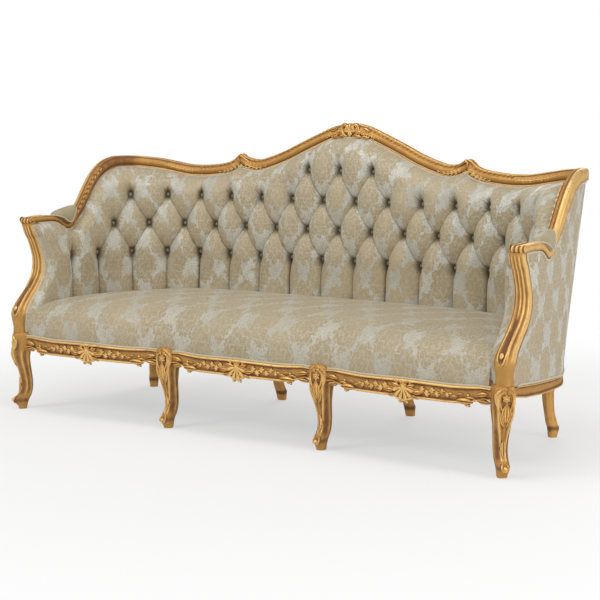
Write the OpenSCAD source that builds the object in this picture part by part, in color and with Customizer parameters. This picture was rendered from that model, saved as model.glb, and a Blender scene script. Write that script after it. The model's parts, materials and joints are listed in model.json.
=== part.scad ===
// A three-bay cabriole sofa: a carved show-wood frame that runs from hand to hand
// over a deep-buttoned back, on four cabriole legs and four splayed rear legs.
// X runs across the sofa, Y from front to back and Z up from the floor.

/* [Overall] */
// Width across the two corner leg blocks
sofa_w = 2110; // [1700:10:2600]
// Depth from the front foot line to the outside of the rear rail
sofa_d = 716; // [620:2:820]
// Height of the crest rail's peak
crest_h = 1112; // [980:2:1250]
// Height of the arm rail at the hand
arm_h = 748; // [690:2:800]
// Height of the seat's crown
seat_h = 458; // [420:1:500]
// Height of the seat rail's moulded top edge
rail_h = 290; // [262:1:310]

/* [Show wood] */
// Height of the crest rail's moulded face
crest_face = 44; // [36:1:56]
// Thickness of the crest and arm rails
crest_t = 46; // [36:1:56]
// Height of a seat rail's moulded face
rail_face = 56; // [46:1:70]
// Thickness of the seat rails
rail_t = 34; // [28:1:42]
// Thickness of a rail's rebate for the seat cover
rebate_t = 14; // [10:1:18]
// Height of the tacking edge above a rail's moulding
tack_h = 22; // [14:1:30]
// Width of an arm stump
stump_w = 54; // [44:1:64]
// Width of a front leg block
block_w = 70; // [60:1:80]
// Rise of a leg block above the rail
block_rise = 12; // [6:1:20]
// Width of a rear leg block
rear_block_w = 66; // [56:1:74]

/* [Hidden frame] */
// Width of a back post
post_w = 40; // [30:1:50]
// Thickness of a post and of a stay rail
post_t = 24; // [18:1:28]
// Height of a stay rail
stay_h = 40; // [30:1:50]
// Height of a stay rail's lower edge
stay_z = 352; // [340:1:380]
// Width of a cross rail under the seat
cross_w = 36; // [28:1:46]
// Height of a cross rail
cross_h = 44; // [34:1:48]
// Length of a tenon
tenon_l = 16; // [10:1:20]
// Thickness of a tenon
tenon_t = 12; // [8:1:14]
// Height of a tenon
tenon_h = 26; // [18:1:30]
// Side of a corner block
corner_l = 80; // [60:1:100]
// Height of a corner block
corner_h = 34; // [24:1:40]
// Diameter of a corner block screw
screw_d = 5; // [4:0.5:6]
// Diameter of a screw head
screw_head_d = 10; // [8:0.5:12]

/* [Seat] */
// Wire diameter of the springs
spring_wire = 4; // [3:0.5:5]
// Width of a sinuous spring strip
spring_w = 52; // [40:1:64]
// Number of spring strips
spring_count = 15; // [11:1:18]
// Height of a spring clip
clip_h = 8; // [6:1:10]
// Thickness of the hessian
hessian_t = 2; // [1:0.5:3]
// Thickness of the seat's top layer
seat_layer = 24; // [16:1:30]

/* [Back and arms] */
// Distance between buttons along a row
button_pitch = 146; // [120:1:170]
// Height between button rows
button_row = 115; // [95:1:130]
// Height of the lowest row of buttons
button_z = 587; // [560:1:620]
// Diameter of a covered button
button_d = 20; // [14:1:26]
// How far the tufts stand proud of the buttons
tuft_depth = 38; // [20:1:46]
// Thickness of the foundation stuffing
stuffing_t = 16; // [10:1:20]
// Thickness of an outside cover
cover_t = 3; // [2:0.5:4]
// Width of a webbing strap
strap_w = 50; // [40:1:60]
// Thickness of a webbing strap
strap_t = 2; // [1.5:0.5:3]
// Length of an arm pad
pad_l = 156; // [130:1:190]
// Width of an arm pad
pad_w = 66; // [54:1:76]
// Crown of an arm pad over the dip in the rail
pad_h = 16; // [10:1:24]
// Width of the gimp
gimp_w = 5; // [4:0.5:7]

/* [Clearances] */
// Gap between a soft piece and its neighbour
soft_gap = 0.4; // [0.3:0.1:0.8]
// Gap round a tenon in its mortise
tenon_gap = 0.2; // [0.1:0.1:0.4]

/* [Hidden] */

gilt = [0.76, 0.57, 0.24];
beech = [0.80, 0.66, 0.46];
damask = [0.72, 0.71, 0.62];
plain_cloth = [0.66, 0.62, 0.50];
jute = [0.66, 0.55, 0.38];
steel = [0.62, 0.63, 0.65];
cream = [0.86, 0.82, 0.70];
black_cloth = [0.13, 0.13, 0.14];

half_w = sofa_w / 2;
origin_y = sofa_d / 2 + crest_t / 2;
block_h = rail_h + block_rise;
post_in = cover_t + soft_gap;
rail_low = rail_h - rail_face;
tack_z = rail_h + tack_h;

// The line of the show wood's top, from the middle of the crest to the right hand,
// as shares of half the width, of the depth and of the rise from arm to crest
crest_shares = [
    [0.000, 1.078, 1.000], [0.071, 1.077, 0.967], [0.142, 1.075, 0.887],
    [0.223, 1.073, 0.786], [0.299, 1.068, 0.687], [0.370, 1.063, 0.615],
    [0.417, 1.060, 0.590], [0.464, 1.057, 0.612], [0.494, 1.056, 0.650],
    [0.531, 1.053, 0.574], [0.578, 1.050, 0.538], [0.655, 1.045, 0.514],
    [0.730, 1.040, 0.516], [0.806, 1.031, 0.549], [0.867, 1.015, 0.577],
    [0.918, 0.984, 0.593], [0.955, 0.930, 0.606], [0.980, 0.815, 0.610],
    [0.987, 0.745, 0.592], [0.991, 0.673, 0.536], [0.993, 0.602, 0.424],
    [0.994, 0.538, 0.268], [0.995, 0.489, 0.129], [0.996, 0.440, 0.019],
    [0.998, 0.384, -0.091], [1.001, 0.328, -0.036], [1.003, 0.279, -0.008],
    [1.004, 0.210, 0.000], [1.005, 0.140, 0.000], [1.005, 0.077, -0.006]];
knuckle_at = 8;
shoulder_at = 15;
last_at = len(crest_shares) - 1;

// The outside of the walls at the seat rail, from the middle of the back to the front,
// for the same places along the show wood
wall_shares = [
    [0.000, 1.000], [0.071, 1.000], [0.142, 1.000], [0.223, 1.000], [0.299, 1.000],
    [0.370, 1.000], [0.417, 1.000], [0.464, 1.000], [0.494, 1.000], [0.531, 1.000],
    [0.578, 0.999], [0.655, 0.997], [0.730, 0.992], [0.795, 0.982], [0.846, 0.965],
    [0.889, 0.941], [0.919, 0.870], [0.950, 0.776], [0.966, 0.720], [0.980, 0.663],
    [0.987, 0.600], [0.991, 0.540], [0.993, 0.489], [0.994, 0.440], [0.995, 0.384],
    [0.996, 0.328], [0.996, 0.279], [0.996, 0.210], [0.996, 0.140], [0.996, 0.077]];

// The line of the buttons at their lowest row, for the same places
button_shares = [
    [0.000, 0.926], [0.070, 0.926], [0.140, 0.926], [0.219, 0.925], [0.293, 0.924],
    [0.362, 0.923], [0.408, 0.921], [0.454, 0.919], [0.483, 0.918], [0.518, 0.916],
    [0.562, 0.912], [0.628, 0.903], [0.685, 0.886], [0.735, 0.862], [0.778, 0.830],
    [0.817, 0.788], [0.851, 0.740], [0.882, 0.687], [0.903, 0.645], [0.921, 0.600],
    [0.935, 0.556], [0.943, 0.508], [0.948, 0.464], [0.951, 0.422], [0.952, 0.374],
    [0.953, 0.324], [0.954, 0.279], [0.956, 0.210], [0.957, 0.140], [0.958, 0.077]];
// Growth of the padding with height
padding_share = 0.05;

function unit(v) = v / norm(v);
function blend(a, b, f) = a + (b - a) * f;
function clamp(v, lo, hi) = min(max(v, lo), hi);
function ease(f) = let (g = clamp(f, 0, 1)) g * g * (3 - 2 * g);

// A smooth curve through the points of a list, read at the place u along it
function curve(p, u) =
    let (n = len(p) - 1, i = clamp(floor(u), 0, n - 1), t = u - i,
         a = p[max(i - 1, 0)], b = p[i], c = p[i + 1], d = p[min(i + 2, n)])
    ((b * 2) + (c - a) * t + (a * 2 - b * 5 + c * 4 - d) * t * t
        + (b * 3 - a - c * 3 + d) * t * t * t) / 2;
// A value read from rows of [place, value]
function read(rows, x, i = 0) =
    x <= rows[0][0] ? rows[0][1]
    : i >= len(rows) - 1 ? rows[len(rows) - 1][1]
    : x <= rows[i + 1][0]
        ? blend(rows[i][1], rows[i + 1][1], (x - rows[i][0]) / (rows[i + 1][0] - rows[i][0]))
    : read(rows, x, i + 1);

crest_line = [for (p = crest_shares)
    [p[0] * half_w, p[1] * sofa_d, arm_h + p[2] * (crest_h - arm_h)]];
wall_line = [for (p = wall_shares) [p[0] * half_w, p[1] * sofa_d, 0]];
button_places = [for (p = button_shares) [p[0] * half_w, p[1] * sofa_d, 0]];

function mirrored(p) = [-p[0], p[1], p[2]];
// Negative places along the lines are on the left of the sofa
function crest_at(u) = u < 0 ? mirrored(curve(crest_line, -u)) : curve(crest_line, u);
function wall_at(u) = u < 0 ? mirrored(curve(wall_line, -u)) : curve(wall_line, u);
step_share = 0.05;
// The show wood turns its bends gently, so that its mouldings don't fold into each other
turn_share = 0.5;
function crest_run(u) = unit(crest_at(u + turn_share) - crest_at(u - turn_share));
function wall_run(u) = unit(wall_at(u + step_share) - wall_at(u - step_share));
function inward(run) = unit([run[1], -run[0], 0]);

function total(v, i = 0) = i < len(v) - 1 ? v[i] + total(v, i + 1) : v[i];
// Solid through a list of rings with the same number of points, which may run either way round
module loft(rings) {
    m = len(rings[0]);
    n = len(rings) - 1;
    middle = floor((n - 1) / 2);
    area = total([for (j = [0:m - 1]) cross(rings[middle][j], rings[middle][(j + 1) % m])]);
    turned = area * (total(rings[middle + 1]) - total(rings[middle])) > 0;
    points = concat([for (r = rings) each r], [total(rings[0]) / m, total(rings[n]) / m]);
    sides = [for (i = [0:n - 1], j = [0:m - 1])
        let (k = (j + 1) % m, a = i * m + j, b = i * m + k, c = a + m, d = b + m)
        each [[a, b, d], [a, d, c]]];
    // Each end is a fan round its middle point
    last = (n + 1) * m;
    ends = [for (j = [0:m - 1]) let (k = (j + 1) % m)
        each [[last, k, j], [last + 1, n * m + j, n * m + k]]];
    faces = concat(ends, sides);
    polyhedron(points = points, convexity = 6,
        faces = turned ? [for (f = faces) [for (j = [len(f) - 1:-1:0]) f[j]]] : faces);
}
module right_to_left() {
    mirror([1, 0, 0]) children();
}
module placed() {
    translate([0, -origin_y, 0]) children();
}
// Points of a ring, from shares of a width and a height round a middle
function octagon_ring(middle, side, up, w, h) =
    [for (i = [0:7]) let (a = 22.5 + 45 * i)
        middle + side * (w / 2 * cos(a) / cos(22.5)) + up * (h / 2 * sin(a) / cos(22.5))];

// Show wood

// Outline of the crest moulding: shares of thickness towards the sofa's inside,
// and of the face downwards from the top
crest_profile_shares = [[-0.50, -0.30], [-0.34, -0.06], [-0.08, 0.00], [0.20, -0.10],
    [0.44, -0.16], [0.50, -0.34], [0.36, -0.60], [0.42, -0.84], [0.26, -1.00],
    [-0.40, -1.00]];
// Fullness of the moulding along the show wood: the cartouche, the knuckles and the hands
fullness_shares = [[0, 1.24], [0.7, 1.12], [1.3, 1.0], [7.2, 1.0], [8, 1.22], [8.8, 1.0],
    [24, 0.92], [26, 1.0], [27.6, 1.2], [28.5, 1.16], [29, 0.8]];

function crest_ring(u) =
    let (c = crest_at(u), run = crest_run(u), side = inward(run), up = cross(side, run),
         full = read(fullness_shares, abs(u)))
    [for (p = crest_profile_shares)
        c + side * (p[0] * crest_t * full) + up * (p[1] * crest_face * full)];
module crest_length(from, to, count) {
    loft([for (i = [0:count]) crest_ring(blend(from, to, i / count))]);
}
module crest_rail_center() {
    color(gilt) difference() {
        crest_length(-knuckle_at, knuckle_at, 44);
        for (side = [0, 1]) mirror([side, 0, 0]) post_tenon(back_post_at, post_w, 0, tenon_gap);
    }
}
module crest_rail_side() {
    color(gilt) difference() {
        crest_length(knuckle_at, shoulder_at, 16);
        post_tenon(corner_post_at, corner_post_w, corner_set_in, tenon_gap);
    }
}
module arm_rail() {
    color(gilt) crest_length(shoulder_at, last_at, 34);
}

// Arm stump: the S between the hand and the corner block, as shares of the depth
// forward and of the rise from block to hand, with the fullness of its two ways
stump_shares = [
    [0.112, 0.860, 0.96, 0.86], [0.126, 0.830, 0.94, 0.84], [0.150, 0.735, 0.94, 0.84],
    [0.168, 0.645, 0.98, 0.88], [0.170, 0.560, 1.02, 0.94], [0.158, 0.480, 1.04, 0.98],
    [0.128, 0.400, 1.04, 1.00], [0.084, 0.320, 1.02, 1.00], [0.034, 0.235, 1.10, 1.10],
    [0.006, 0.170, 1.24, 1.16], [0.002, 0.110, 1.10, 1.02], [0.004, 0.055, 0.98, 0.94],
    [0.006, 0.000, 1.06, 1.02]];
stump_x = curve(crest_line, last_at)[0] - crest_t * 0.1;
stump_rise = arm_h - block_h;
stump_lean = stump_w * 0.15;
stump_line = [for (p = stump_shares)
    [stump_x - stump_lean * (1 - p[1]), p[0] * sofa_d, block_h + p[1] * stump_rise]];
function stump_ring(i) =
    let (n = len(stump_line) - 1,
         run = i == n || i == 0 ? [0, 0, -1] : unit(stump_line[i + 1] - stump_line[i - 1]),
         side = [1, 0, 0], up = cross(side, run), s = stump_shares[i])
    octagon_ring(stump_line[i], side, up, stump_w * s[2], stump_w * s[3]);
module arm_stump() {
    color(gilt) difference() {
        loft([for (i = [0:len(stump_line) - 1]) stump_ring(i)]);
        arm_cut();
    }
}
// Space of the hand scroll over the stump's head
module arm_cut() {
    loft([for (i = [0:12]) crest_ring(blend(last_at - 4, last_at, i / 12))]);
}

// Front legs: shares of the height, outward offset, depth and width of a block
front_leg_shares = [
    [0.000, 0.06, 0.46, 0.46], [0.030, 0.06, 0.50, 0.50], [0.110, 0.14, 0.84, 0.60],
    [0.180, -0.06, 0.76, 0.66], [0.260, -0.20, 0.69, 0.66], [0.350, -0.22, 0.68, 0.70],
    [0.450, -0.16, 0.72, 0.76], [0.560, -0.06, 0.80, 0.86], [0.670, 0.04, 0.92, 0.95],
    [0.760, 0.04, 1.00, 1.00], [0.960, 0.00, 1.00, 1.00], [1.000, 0.00, 0.80, 0.80]];
// Rear legs: plainer, with a small toe
rear_leg_shares = [
    [0.000, 0.10, 0.46, 0.50], [0.040, 0.10, 0.50, 0.54], [0.120, 0.12, 0.62, 0.60],
    [0.180, 0.02, 0.60, 0.60], [0.320, -0.12, 0.54, 0.62], [0.480, -0.20, 0.58, 0.68],
    [0.640, -0.20, 0.64, 0.76], [0.780, 0.00, 1.00, 1.00], [1.000, 0.00, 1.00, 1.00]];
rear_splay_share = 0.44;
function leg_ring(top, out, height, w, s, splay) =
    octagon_ring([top[0], top[1], s[0] * height]
            + out * ((s[1] + splay * pow(1 - s[0], 2)) * w),
        out, cross([0, 0, 1], out), w * s[2], w * s[3]);
module leg(top, out, height, w, shares, splay = 0) {
    loft([for (s = shares) leg_ring(top, out, height, w, s, splay)]);
}
diagonal_out = unit([1, -1, 0]);
rear_diagonal = unit([1, 1, 0]);
corner_leg_top = [half_w * 0.9877, sofa_d * 0.004, 0];
inner_leg_top = [half_w * 0.3194, sofa_d * 0.039, 0];
rear_corner_top = [half_w * 0.8645, sofa_d - rear_block_w * 0.92, 0];
rear_inner_top = [half_w * 0.2825, sofa_d - rear_block_w * 0.53 - post_in, 0];
rear_leg_h = rail_h;

// A tenon on a face, pointing its way; the gap is added for its mortise
module tenon(face, way, gap) {
    along_y = abs(way[1]) > abs(way[0]);
    l = tenon_l + gap;
    size = along_y ? [tenon_t + gap * 2, l, tenon_h + gap * 2]
        : [l, tenon_t + gap * 2, tenon_h + gap * 2];
    translate(face + way * (l / 2)) cube(size, center = true);
}
tenon_z = rail_low + rail_face * 0.52;
front_tenon_y = rail_t * 0.5;
// Rail ends: where a rail's end face meets its block
inner_face_x = inner_leg_top[0] + block_w / 2;
inner_near_x = inner_leg_top[0] - block_w / 2;
corner_face_x = corner_leg_top[0] - block_w / 2;
side_face_y = corner_leg_top[1] + block_w / 2;
rear_side_y = rear_corner_top[1] - rear_block_w / 2;
rear_corner_x = rear_corner_top[0] - rear_block_w / 2;
rear_inner_far_x = rear_inner_top[0] + rear_block_w / 2;
rear_inner_near_x = rear_inner_top[0] - rear_block_w / 2;

module front_leg_corner() {
    color(gilt) difference() {
        leg(corner_leg_top, diagonal_out, block_h, block_w, front_leg_shares);
        tenon([corner_face_x, front_tenon_at(corner_face_x), tenon_z], [1, 0, 0], tenon_gap);
        tenon([side_tenon_x(side_face_y), side_face_y, tenon_z], [0, -1, 0], tenon_gap);
        leg_screw(front_brace, corner_leg_top, screw_gap);
    }
}
module front_leg_inner() {
    color(gilt) difference() {
        leg(inner_leg_top, [0, -1, 0], block_h, block_w, front_leg_shares);
        tenon([inner_face_x, front_tenon_at(inner_face_x), tenon_z], [-1, 0, 0], tenon_gap);
        tenon([inner_near_x, front_tenon_at(inner_near_x), tenon_z], [1, 0, 0], tenon_gap);
    }
}
module rear_leg_corner() {
    color(gilt) difference() {
        leg(rear_corner_top, rear_diagonal, rear_leg_h, rear_block_w, rear_leg_shares);
        leg_screw(rear_brace, rear_corner_top, screw_gap);
    }
}
module rear_leg_inner() {
    color(gilt) difference() {
        leg(rear_inner_top, [0, 1, 0], rear_leg_h, rear_block_w, rear_leg_shares,
            rear_splay_share);
        tenon([rear_inner_far_x, rear_tenon_y, tenon_z], [-1, 0, 0], tenon_gap);
        tenon([rear_inner_near_x, rear_tenon_y, tenon_z], [1, 0, 0], tenon_gap);
    }
}

// Seat rails

// Front line of the seat rails, as shares of half the width and of the depth
front_line_shares = [[0, -0.020], [0.10, -0.018], [0.20, -0.009], [0.290, 0.000],
    [0.352, 0.000], [0.45, -0.012], [0.56, -0.030], [0.65, -0.037], [0.78, -0.037],
    [0.90, -0.030], [0.956, -0.024]];
// Lower and upper edge of a bay, from its middle to its end, as shares of the rail's face
apron_low_shares = [[0, -0.34], [0.06, -0.26], [0.14, -0.08], [0.60, -0.10], [0.74, -0.02],
    [0.84, 0.12], [0.92, 0.34], [1, 0.24]];
apron_top_shares = [[0, 0.02], [0.25, -0.06], [0.55, -0.16], [0.75, -0.06], [0.88, 0.02],
    [1, -0.10]];
// Outline of a seat rail: shares of the face upwards, with its depth from the front
function rail_ring(at, along, back, low, high, t) =
    let (f = high - low, ridge = rebate_t * 0.4)
    [for (p = [[ridge, low], [0, low + f * 0.14], [ridge, low + f * 0.34],
               [ridge * 0.4, low + f * 0.72], [0, high - f * 0.10], [ridge, high],
               [rebate_t, high], [rebate_t, tack_z], [t, tack_z], [t, low + f * 0.2]])
        at + back * p[0] + [0, 0, p[1]]];
function front_line_y(x) =
    read(front_line_shares, abs(x) / half_w) * sofa_d;
function front_tenon_at(x) = front_line_y(x) + front_tenon_y;
// Share of a place between the middle of its bay and its end
function bay_share(x) =
    let (v = abs(x))
    min(1, v < inner_leg_top[0] ? v / inner_near_x
        : abs(v - (inner_face_x + corner_face_x) / 2) * 2 / (corner_face_x - inner_face_x));
function front_high(x) = rail_h + read(apron_top_shares, bay_share(x)) * rail_face * 0.4;
bay_steps = 20;
module front_bay(from, to) {
    loft([for (i = [0:bay_steps])
        let (x = i == bay_steps ? to : blend(from, to, i / bay_steps),
             low = rail_low + read(apron_low_shares, bay_share(x)) * rail_face)
        rail_ring([x, front_line_y(x), 0], [1, 0, 0], [0, 1, 0], low, front_high(x), rail_t)]);
}
module front_rail_center() {
    color(gilt) {
        front_bay(-inner_near_x, inner_near_x);
        for (s = [-1, 1])
            tenon([s * inner_near_x, front_tenon_at(inner_near_x), tenon_z], [s, 0, 0], 0);
    }
}
module front_rail_side() {
    color(gilt) {
        front_bay(inner_face_x, corner_face_x);
        tenon([inner_face_x, front_tenon_at(inner_face_x), tenon_z], [-1, 0, 0], 0);
        tenon([corner_face_x, front_tenon_at(corner_face_x), tenon_z], [1, 0, 0], 0);
    }
}
// Outside of the side rail at a depth, from the wall's line
wall_by_y = [for (i = [last_at:-1:shoulder_at]) [wall_line[i][1], wall_line[i][0]]];
function side_x(y) = read(wall_by_y, y);
function side_tenon_x(y) = side_x(y) - rail_t / 2;
side_low_shares = [[0, 0.20], [0.08, 0.24], [0.2, 0.02], [0.4, -0.12], [0.8, -0.16], [1, -0.10]];
side_top_shares = [[0, -0.30], [0.12, -0.12], [0.3, -0.28], [0.7, -0.50], [1, -0.50]];
// Room for the rear corner leg's block in the rails that are let into it
module rear_block_cut() {
    w = rear_block_w + tenon_gap * 2;
    translate([0, 0, rail_low - rail_face]) linear_extrude(rail_face * 4)
        polygon([for (p = octagon_ring(rear_corner_top, [1, 0, 0], [0, 1, 0], w, w))
            [p[0], p[1]]]);
}
module side_rail() {
    end_y = rear_corner_top[1];
    color(gilt) {
        difference() {
            loft([for (i = [0:16])
                let (f = i / 16, y = blend(side_face_y, end_y, f),
                     low = rail_low + read(side_low_shares, f) * rail_face,
                     high = side_rail_high(f))
                rail_ring([side_x(y), y, 0], [0, 1, 0], [-1, 0, 0], low, high, rail_t)]);
            rear_block_cut();
        }
        tenon([side_tenon_x(side_face_y), side_face_y, tenon_z], [0, -1, 0], 0);
    }
}
function side_rail_high(f) = rail_h + read(side_top_shares, f) * rail_face;
rear_rail_t = rail_t - post_in;
rear_tenon_y = sofa_d - post_in - rear_rail_t / 2;
rear_rail_h = rail_face + tack_h;
module rear_rail_center() {
    l = rear_inner_near_x;
    color(beech) {
        translate([-l, sofa_d - rail_t, rail_low]) cube([l * 2, rear_rail_t, rear_rail_h]);
        for (s = [-1, 1]) tenon([s * l, rear_tenon_y, tenon_z], [s, 0, 0], 0);
    }
}
wall_by_x = [for (i = [0:shoulder_at + 1]) [wall_line[i][0], wall_line[i][1]]];
function rear_y(x) = read(wall_by_x, x) - post_in;
module rear_rail_side() {
    end_x = rear_corner_top[0] - rear_block_w * 0.4;
    color(beech) {
        difference() {
            loft([for (i = [0:12])
                let (x = blend(rear_inner_far_x, end_x, i / 12), y = rear_y(x))
                [[x, y - rear_rail_t, rail_low], [x, y, rail_low], [x, y, tack_z],
                 [x, y - rear_rail_t, tack_z]]]);
            rear_block_cut();
        }
        tenon([rear_inner_far_x, rear_tenon_y, tenon_z], [-1, 0, 0], 0);
    }
}

// Hidden frame

// A place on the wall: u along the show wood, z up, and a depth in from the outside
wall_low = rail_h;
wall_set_in_share = 0.30;
function fullness(u) = read(fullness_shares, abs(u));
function wall_top_z(u) =
    let (run = crest_run(u))
    crest_at(u)[2] - crest_face * fullness(u) / norm([run[0], run[1]]) - soft_gap * 6;
function wall_point(u, z, depth) =
    let (low = wall_at(u), side = inward(wall_run(u)), c = crest_at(u),
         high = c - side * (crest_t * wall_set_in_share),
         f = max(0, (z - wall_low) / (c[2] - crest_face - wall_low)), b = blend(low, high, f))
    [b[0], b[1], z] + side * depth;
function wall_quad(u, w, z, from, to, shift = 0) =
    let (run = wall_run(u), side = inward(run), c = wall_point(u, z, 0))
    [for (p = [[-w / 2, from], [w / 2, from], [w / 2, to], [-w / 2, to]])
        c + run * (p[0] + shift) + side * p[1]];
// Closed slab between two grids of points
module slab(front, back) {
    n = len(front) - 1;
    m = len(front[0]) - 1;
    w = m + 1;
    half = (n + 1) * w;
    points = [for (grid = [front, back]) each [for (r = grid) each r]];
    function quad(a, b, c, d) = [[a, b, c], [a, c, d]];
    faces = concat(
        [for (i = [0:n - 1], j = [0:m - 1]) let (a = i * w + j)
            each quad(a, a + 1, a + w + 1, a + w)],
        [for (i = [0:n - 1], j = [0:m - 1]) let (a = half + i * w + j)
            each quad(a, a + w, a + w + 1, a + 1)],
        [for (i = [0:n - 1], j = [0, m]) let (a = i * w + j, b = a + half)
            each (j == 0 ? quad(a, a + w, b + w, b) : quad(a, b, b + w, a + w))],
        [for (j = [0:m - 1], i = [0, n]) let (a = i * w + j, b = a + half)
            each (i == 0 ? quad(a, b, b + 1, a + 1) : quad(a, a + 1, b + 1, b))]);
    polyhedron(points = points, faces = faces, convexity = 8);
}

post_out = post_in + post_t;
web_in = post_out + soft_gap * 2;
web_out = web_in + strap_t;
stuffing_in = web_out + soft_gap * 3;
roll_h = button_row * 0.62;
module post(u, w, foot, set_in) {
    loft([for (z = [foot, wall_top_z(u) - post_drop])
        wall_quad(u, w, z, post_in + set_in, post_out)]);
    post_tenon(u, w, set_in, 0);
}
// Tenon of a post's top in the crest rail
post_drop = post_t * 0.4;
module post_tenon(u, w, set_in, gap) {
    half_t = tenon_t / 2 + gap;
    middle = (post_in + set_in + post_out) / 2;
    top = wall_top_z(u) + tenon_l + gap;
    loft([for (z = [wall_top_z(u) - post_drop * 2, top])
        wall_quad(u, w * 0.6 + gap * 2, z, middle - half_t, middle + half_t)]);
}
corner_post_at = 14.4;
back_post_at = 3.76;
// The corner post is narrower and stands in a little, clear of the rounded corner
corner_set_in = post_t * 0.25;
corner_post_w = post_w * 0.75;
module corner_post() {
    color(beech) post(corner_post_at, corner_post_w, rear_leg_h, corner_set_in);
}
module back_post() {
    color(beech) post(back_post_at, post_w, rear_leg_h, 0);
}
// Stay rail between two places, from the side of one post to the side of the next
stay_top = stay_z + stay_h;
function stay_ring(u, shift) =
    let (low = wall_quad(u, 0, stay_z, post_in, post_out, shift),
         high = wall_quad(u, 0, stay_top, post_in, post_out, shift))
    [low[0], low[2], high[2], high[0]];
module stay(from, to, count, from_w, to_w) {
    color(beech) loft([for (i = [0:count])
        stay_ring(blend(from, to, i / count),
            i == 0 ? from_w / 2 : i == count ? -to_w / 2 : 0)]);
}
module back_stay_rail() {
    stay(-back_post_at, back_post_at, 2, post_w, post_w);
    for (side = [0, 1]) mirror([side, 0, 0])
        stay(back_post_at, corner_post_at, 14, post_w, corner_post_w);
}
arm_back_at = corner_post_at + 0.02;
arm_front_at = 28.2;
arm_steps = 28;
// From here forward the outside panel's end leans along the stump
arm_bend_at = 25;
module arm_stay_rail() {
    difference() {
        stay(arm_back_at, arm_front_at, arm_steps, 0, 0);
        post(corner_post_at, corner_post_w, rear_leg_h, corner_set_in);
    }
}
cross_z = rail_low + rail_face - cross_h;
module cross_rail() {
    front_y = inner_leg_top[1] + block_w / 2;
    back_y = rear_inner_top[1] - rear_block_w / 2;
    lean = rear_inner_top[0] - inner_leg_top[0];
    color(beech) loft([for (f = [0, 1])
        let (c = [inner_leg_top[0] + lean * f, blend(front_y, back_y, f), cross_z], w = cross_w / 2)
        [c + [-w, 0, 0], c + [w, 0, 0], c + [w, 0, cross_h], c + [-w, 0, cross_h]]]);
}
// Corner blocks: a brace across each corner between the two rails' inner faces,
// with a screw through it into the leg
screw_gap = 0.2;
corner_z = tack_z - corner_h - tack_h * 0.5;
brace_w = corner_l * 0.46;
brace_gap = 0.5;
function front_face(x) = [x, front_line_y(x) + rail_t + brace_gap];
function side_face(y) = [side_x(y) - rail_t - brace_gap, y];
function rear_face(x) = [x, rear_y(x) - rear_rail_t - brace_gap];
front_brace = let (x = corner_face_x - corner_l * 0.5, y = side_face_y + corner_l * 0.5)
    [front_face(x - brace_w), front_face(x), side_face(y), side_face(y + brace_w)];
rear_brace = let (x = rear_corner_x - corner_l * 0.49, y = rear_side_y - corner_l * 0.59)
    [rear_face(x - brace_w), side_face(y - brace_w), side_face(y), rear_face(x)];
screw_sink_share = 12;
module leg_screw(brace, leg_top, gap) {
    m = (brace[0] + brace[1] + brace[2] + brace[3]) / 4;
    way = [leg_top[0] - m[0], leg_top[1] - m[1]];
    r = screw_d / 2 + gap;
    head_l = screw_d * 0.6 * (gap > 0 ? screw_sink_share : 1);
    translate([m[0], m[1], corner_z + corner_h / 2]) rotate([0, 0, atan2(way[1], way[0])])
        rotate([0, 90, 0]) {
            translate([0, 0, -gap]) cylinder(h = norm(way) + gap * 2, r = r, $fn = 24);
            translate([0, 0, -head_l])
                cylinder(h = head_l, r = screw_head_d / 2 + gap, $fn = 24);
        }
}
module corner_brace(brace, leg_top) {
    difference() {
        translate([0, 0, corner_z]) linear_extrude(corner_h) polygon(brace);
        leg_screw(brace, leg_top, screw_gap);
    }
}
module corner_blocks() {
    color(beech) for (side = [0, 1]) mirror([side, 0, 0]) {
        corner_brace(front_brace, corner_leg_top);
        corner_brace(rear_brace, rear_corner_top);
    }
}
module frame_screws() {
    color(steel) for (side = [0, 1]) mirror([side, 0, 0]) {
        leg_screw(front_brace, corner_leg_top, 0);
        leg_screw(rear_brace, rear_corner_top, 0);
    }
}

// Seat

spring_top = tack_z + clip_h;
spring_reach_share = 0.78;
spring_xs = [for (i = [0:spring_count - 1])
    half_w * spring_reach_share * (2 * i / (spring_count - 1) - 1)];
clip_l = rail_t - rebate_t - soft_gap * 2;
clip_w = spring_w * 0.34;
spring_bends = 12;
function spring_front(x) = front_line_y(x) + rail_t;
spring_back = sofa_d - rail_t;
// Band of a zigzag wire, seen from above
module spring(x) {
    y0 = spring_front(x) + soft_gap;
    run = spring_back - soft_gap - y0;
    steps = spring_bends * 4;
    middle = [for (i = [0:steps])
        let (f = i / steps, ends = ease(f * 8) * ease((1 - f) * 8))
        [x + spring_w / 2 * ends * sin(180 * spring_bends * f), y0 + run * f]];
    function across(i) =
        let (d = middle[min(i + 1, steps)] - middle[max(i - 1, 0)]) [-d[1], d[0]] / norm(d);
    w = spring_wire / 2;
    translate([0, 0, spring_top - spring_wire]) linear_extrude(spring_wire)
        polygon(concat([for (i = [0:steps]) middle[i] + across(i) * w],
            [for (i = [steps:-1:0]) middle[i] - across(i) * w]));
}
module seat_springs() {
    color(steel) for (x = spring_xs) spring(x);
}
module spring_clips() {
    color(steel) for (x = spring_xs) {
        translate([x - clip_w / 2, spring_front(x) - clip_l, tack_z])
            cube([clip_w, clip_l, clip_h]);
        translate([x - clip_w / 2, spring_back, tack_z]) cube([clip_w, clip_l, clip_h]);
    }
}
front_xs = [for (i = [-16:16]) half_w * 0.93 * i / 16];
module seat_hessian() {
    right = [for (u = [27:-1:0]) let (p = wall_point(u, spring_top, post_out + soft_gap * 2))
        [p[0], p[1]]];
    left = [for (i = [len(right) - 1:-1:0]) [-right[i][0], right[i][1]]];
    front = [for (x = front_xs) [x, front_line_y(x) + rebate_t + soft_gap]];
    color(jute) translate([0, 0, spring_top + soft_gap]) linear_extrude(hessian_t)
        polygon(concat(front, right, left));
}

// The inside line of the back and arms at the seat
flute_share = 0.70;
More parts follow.
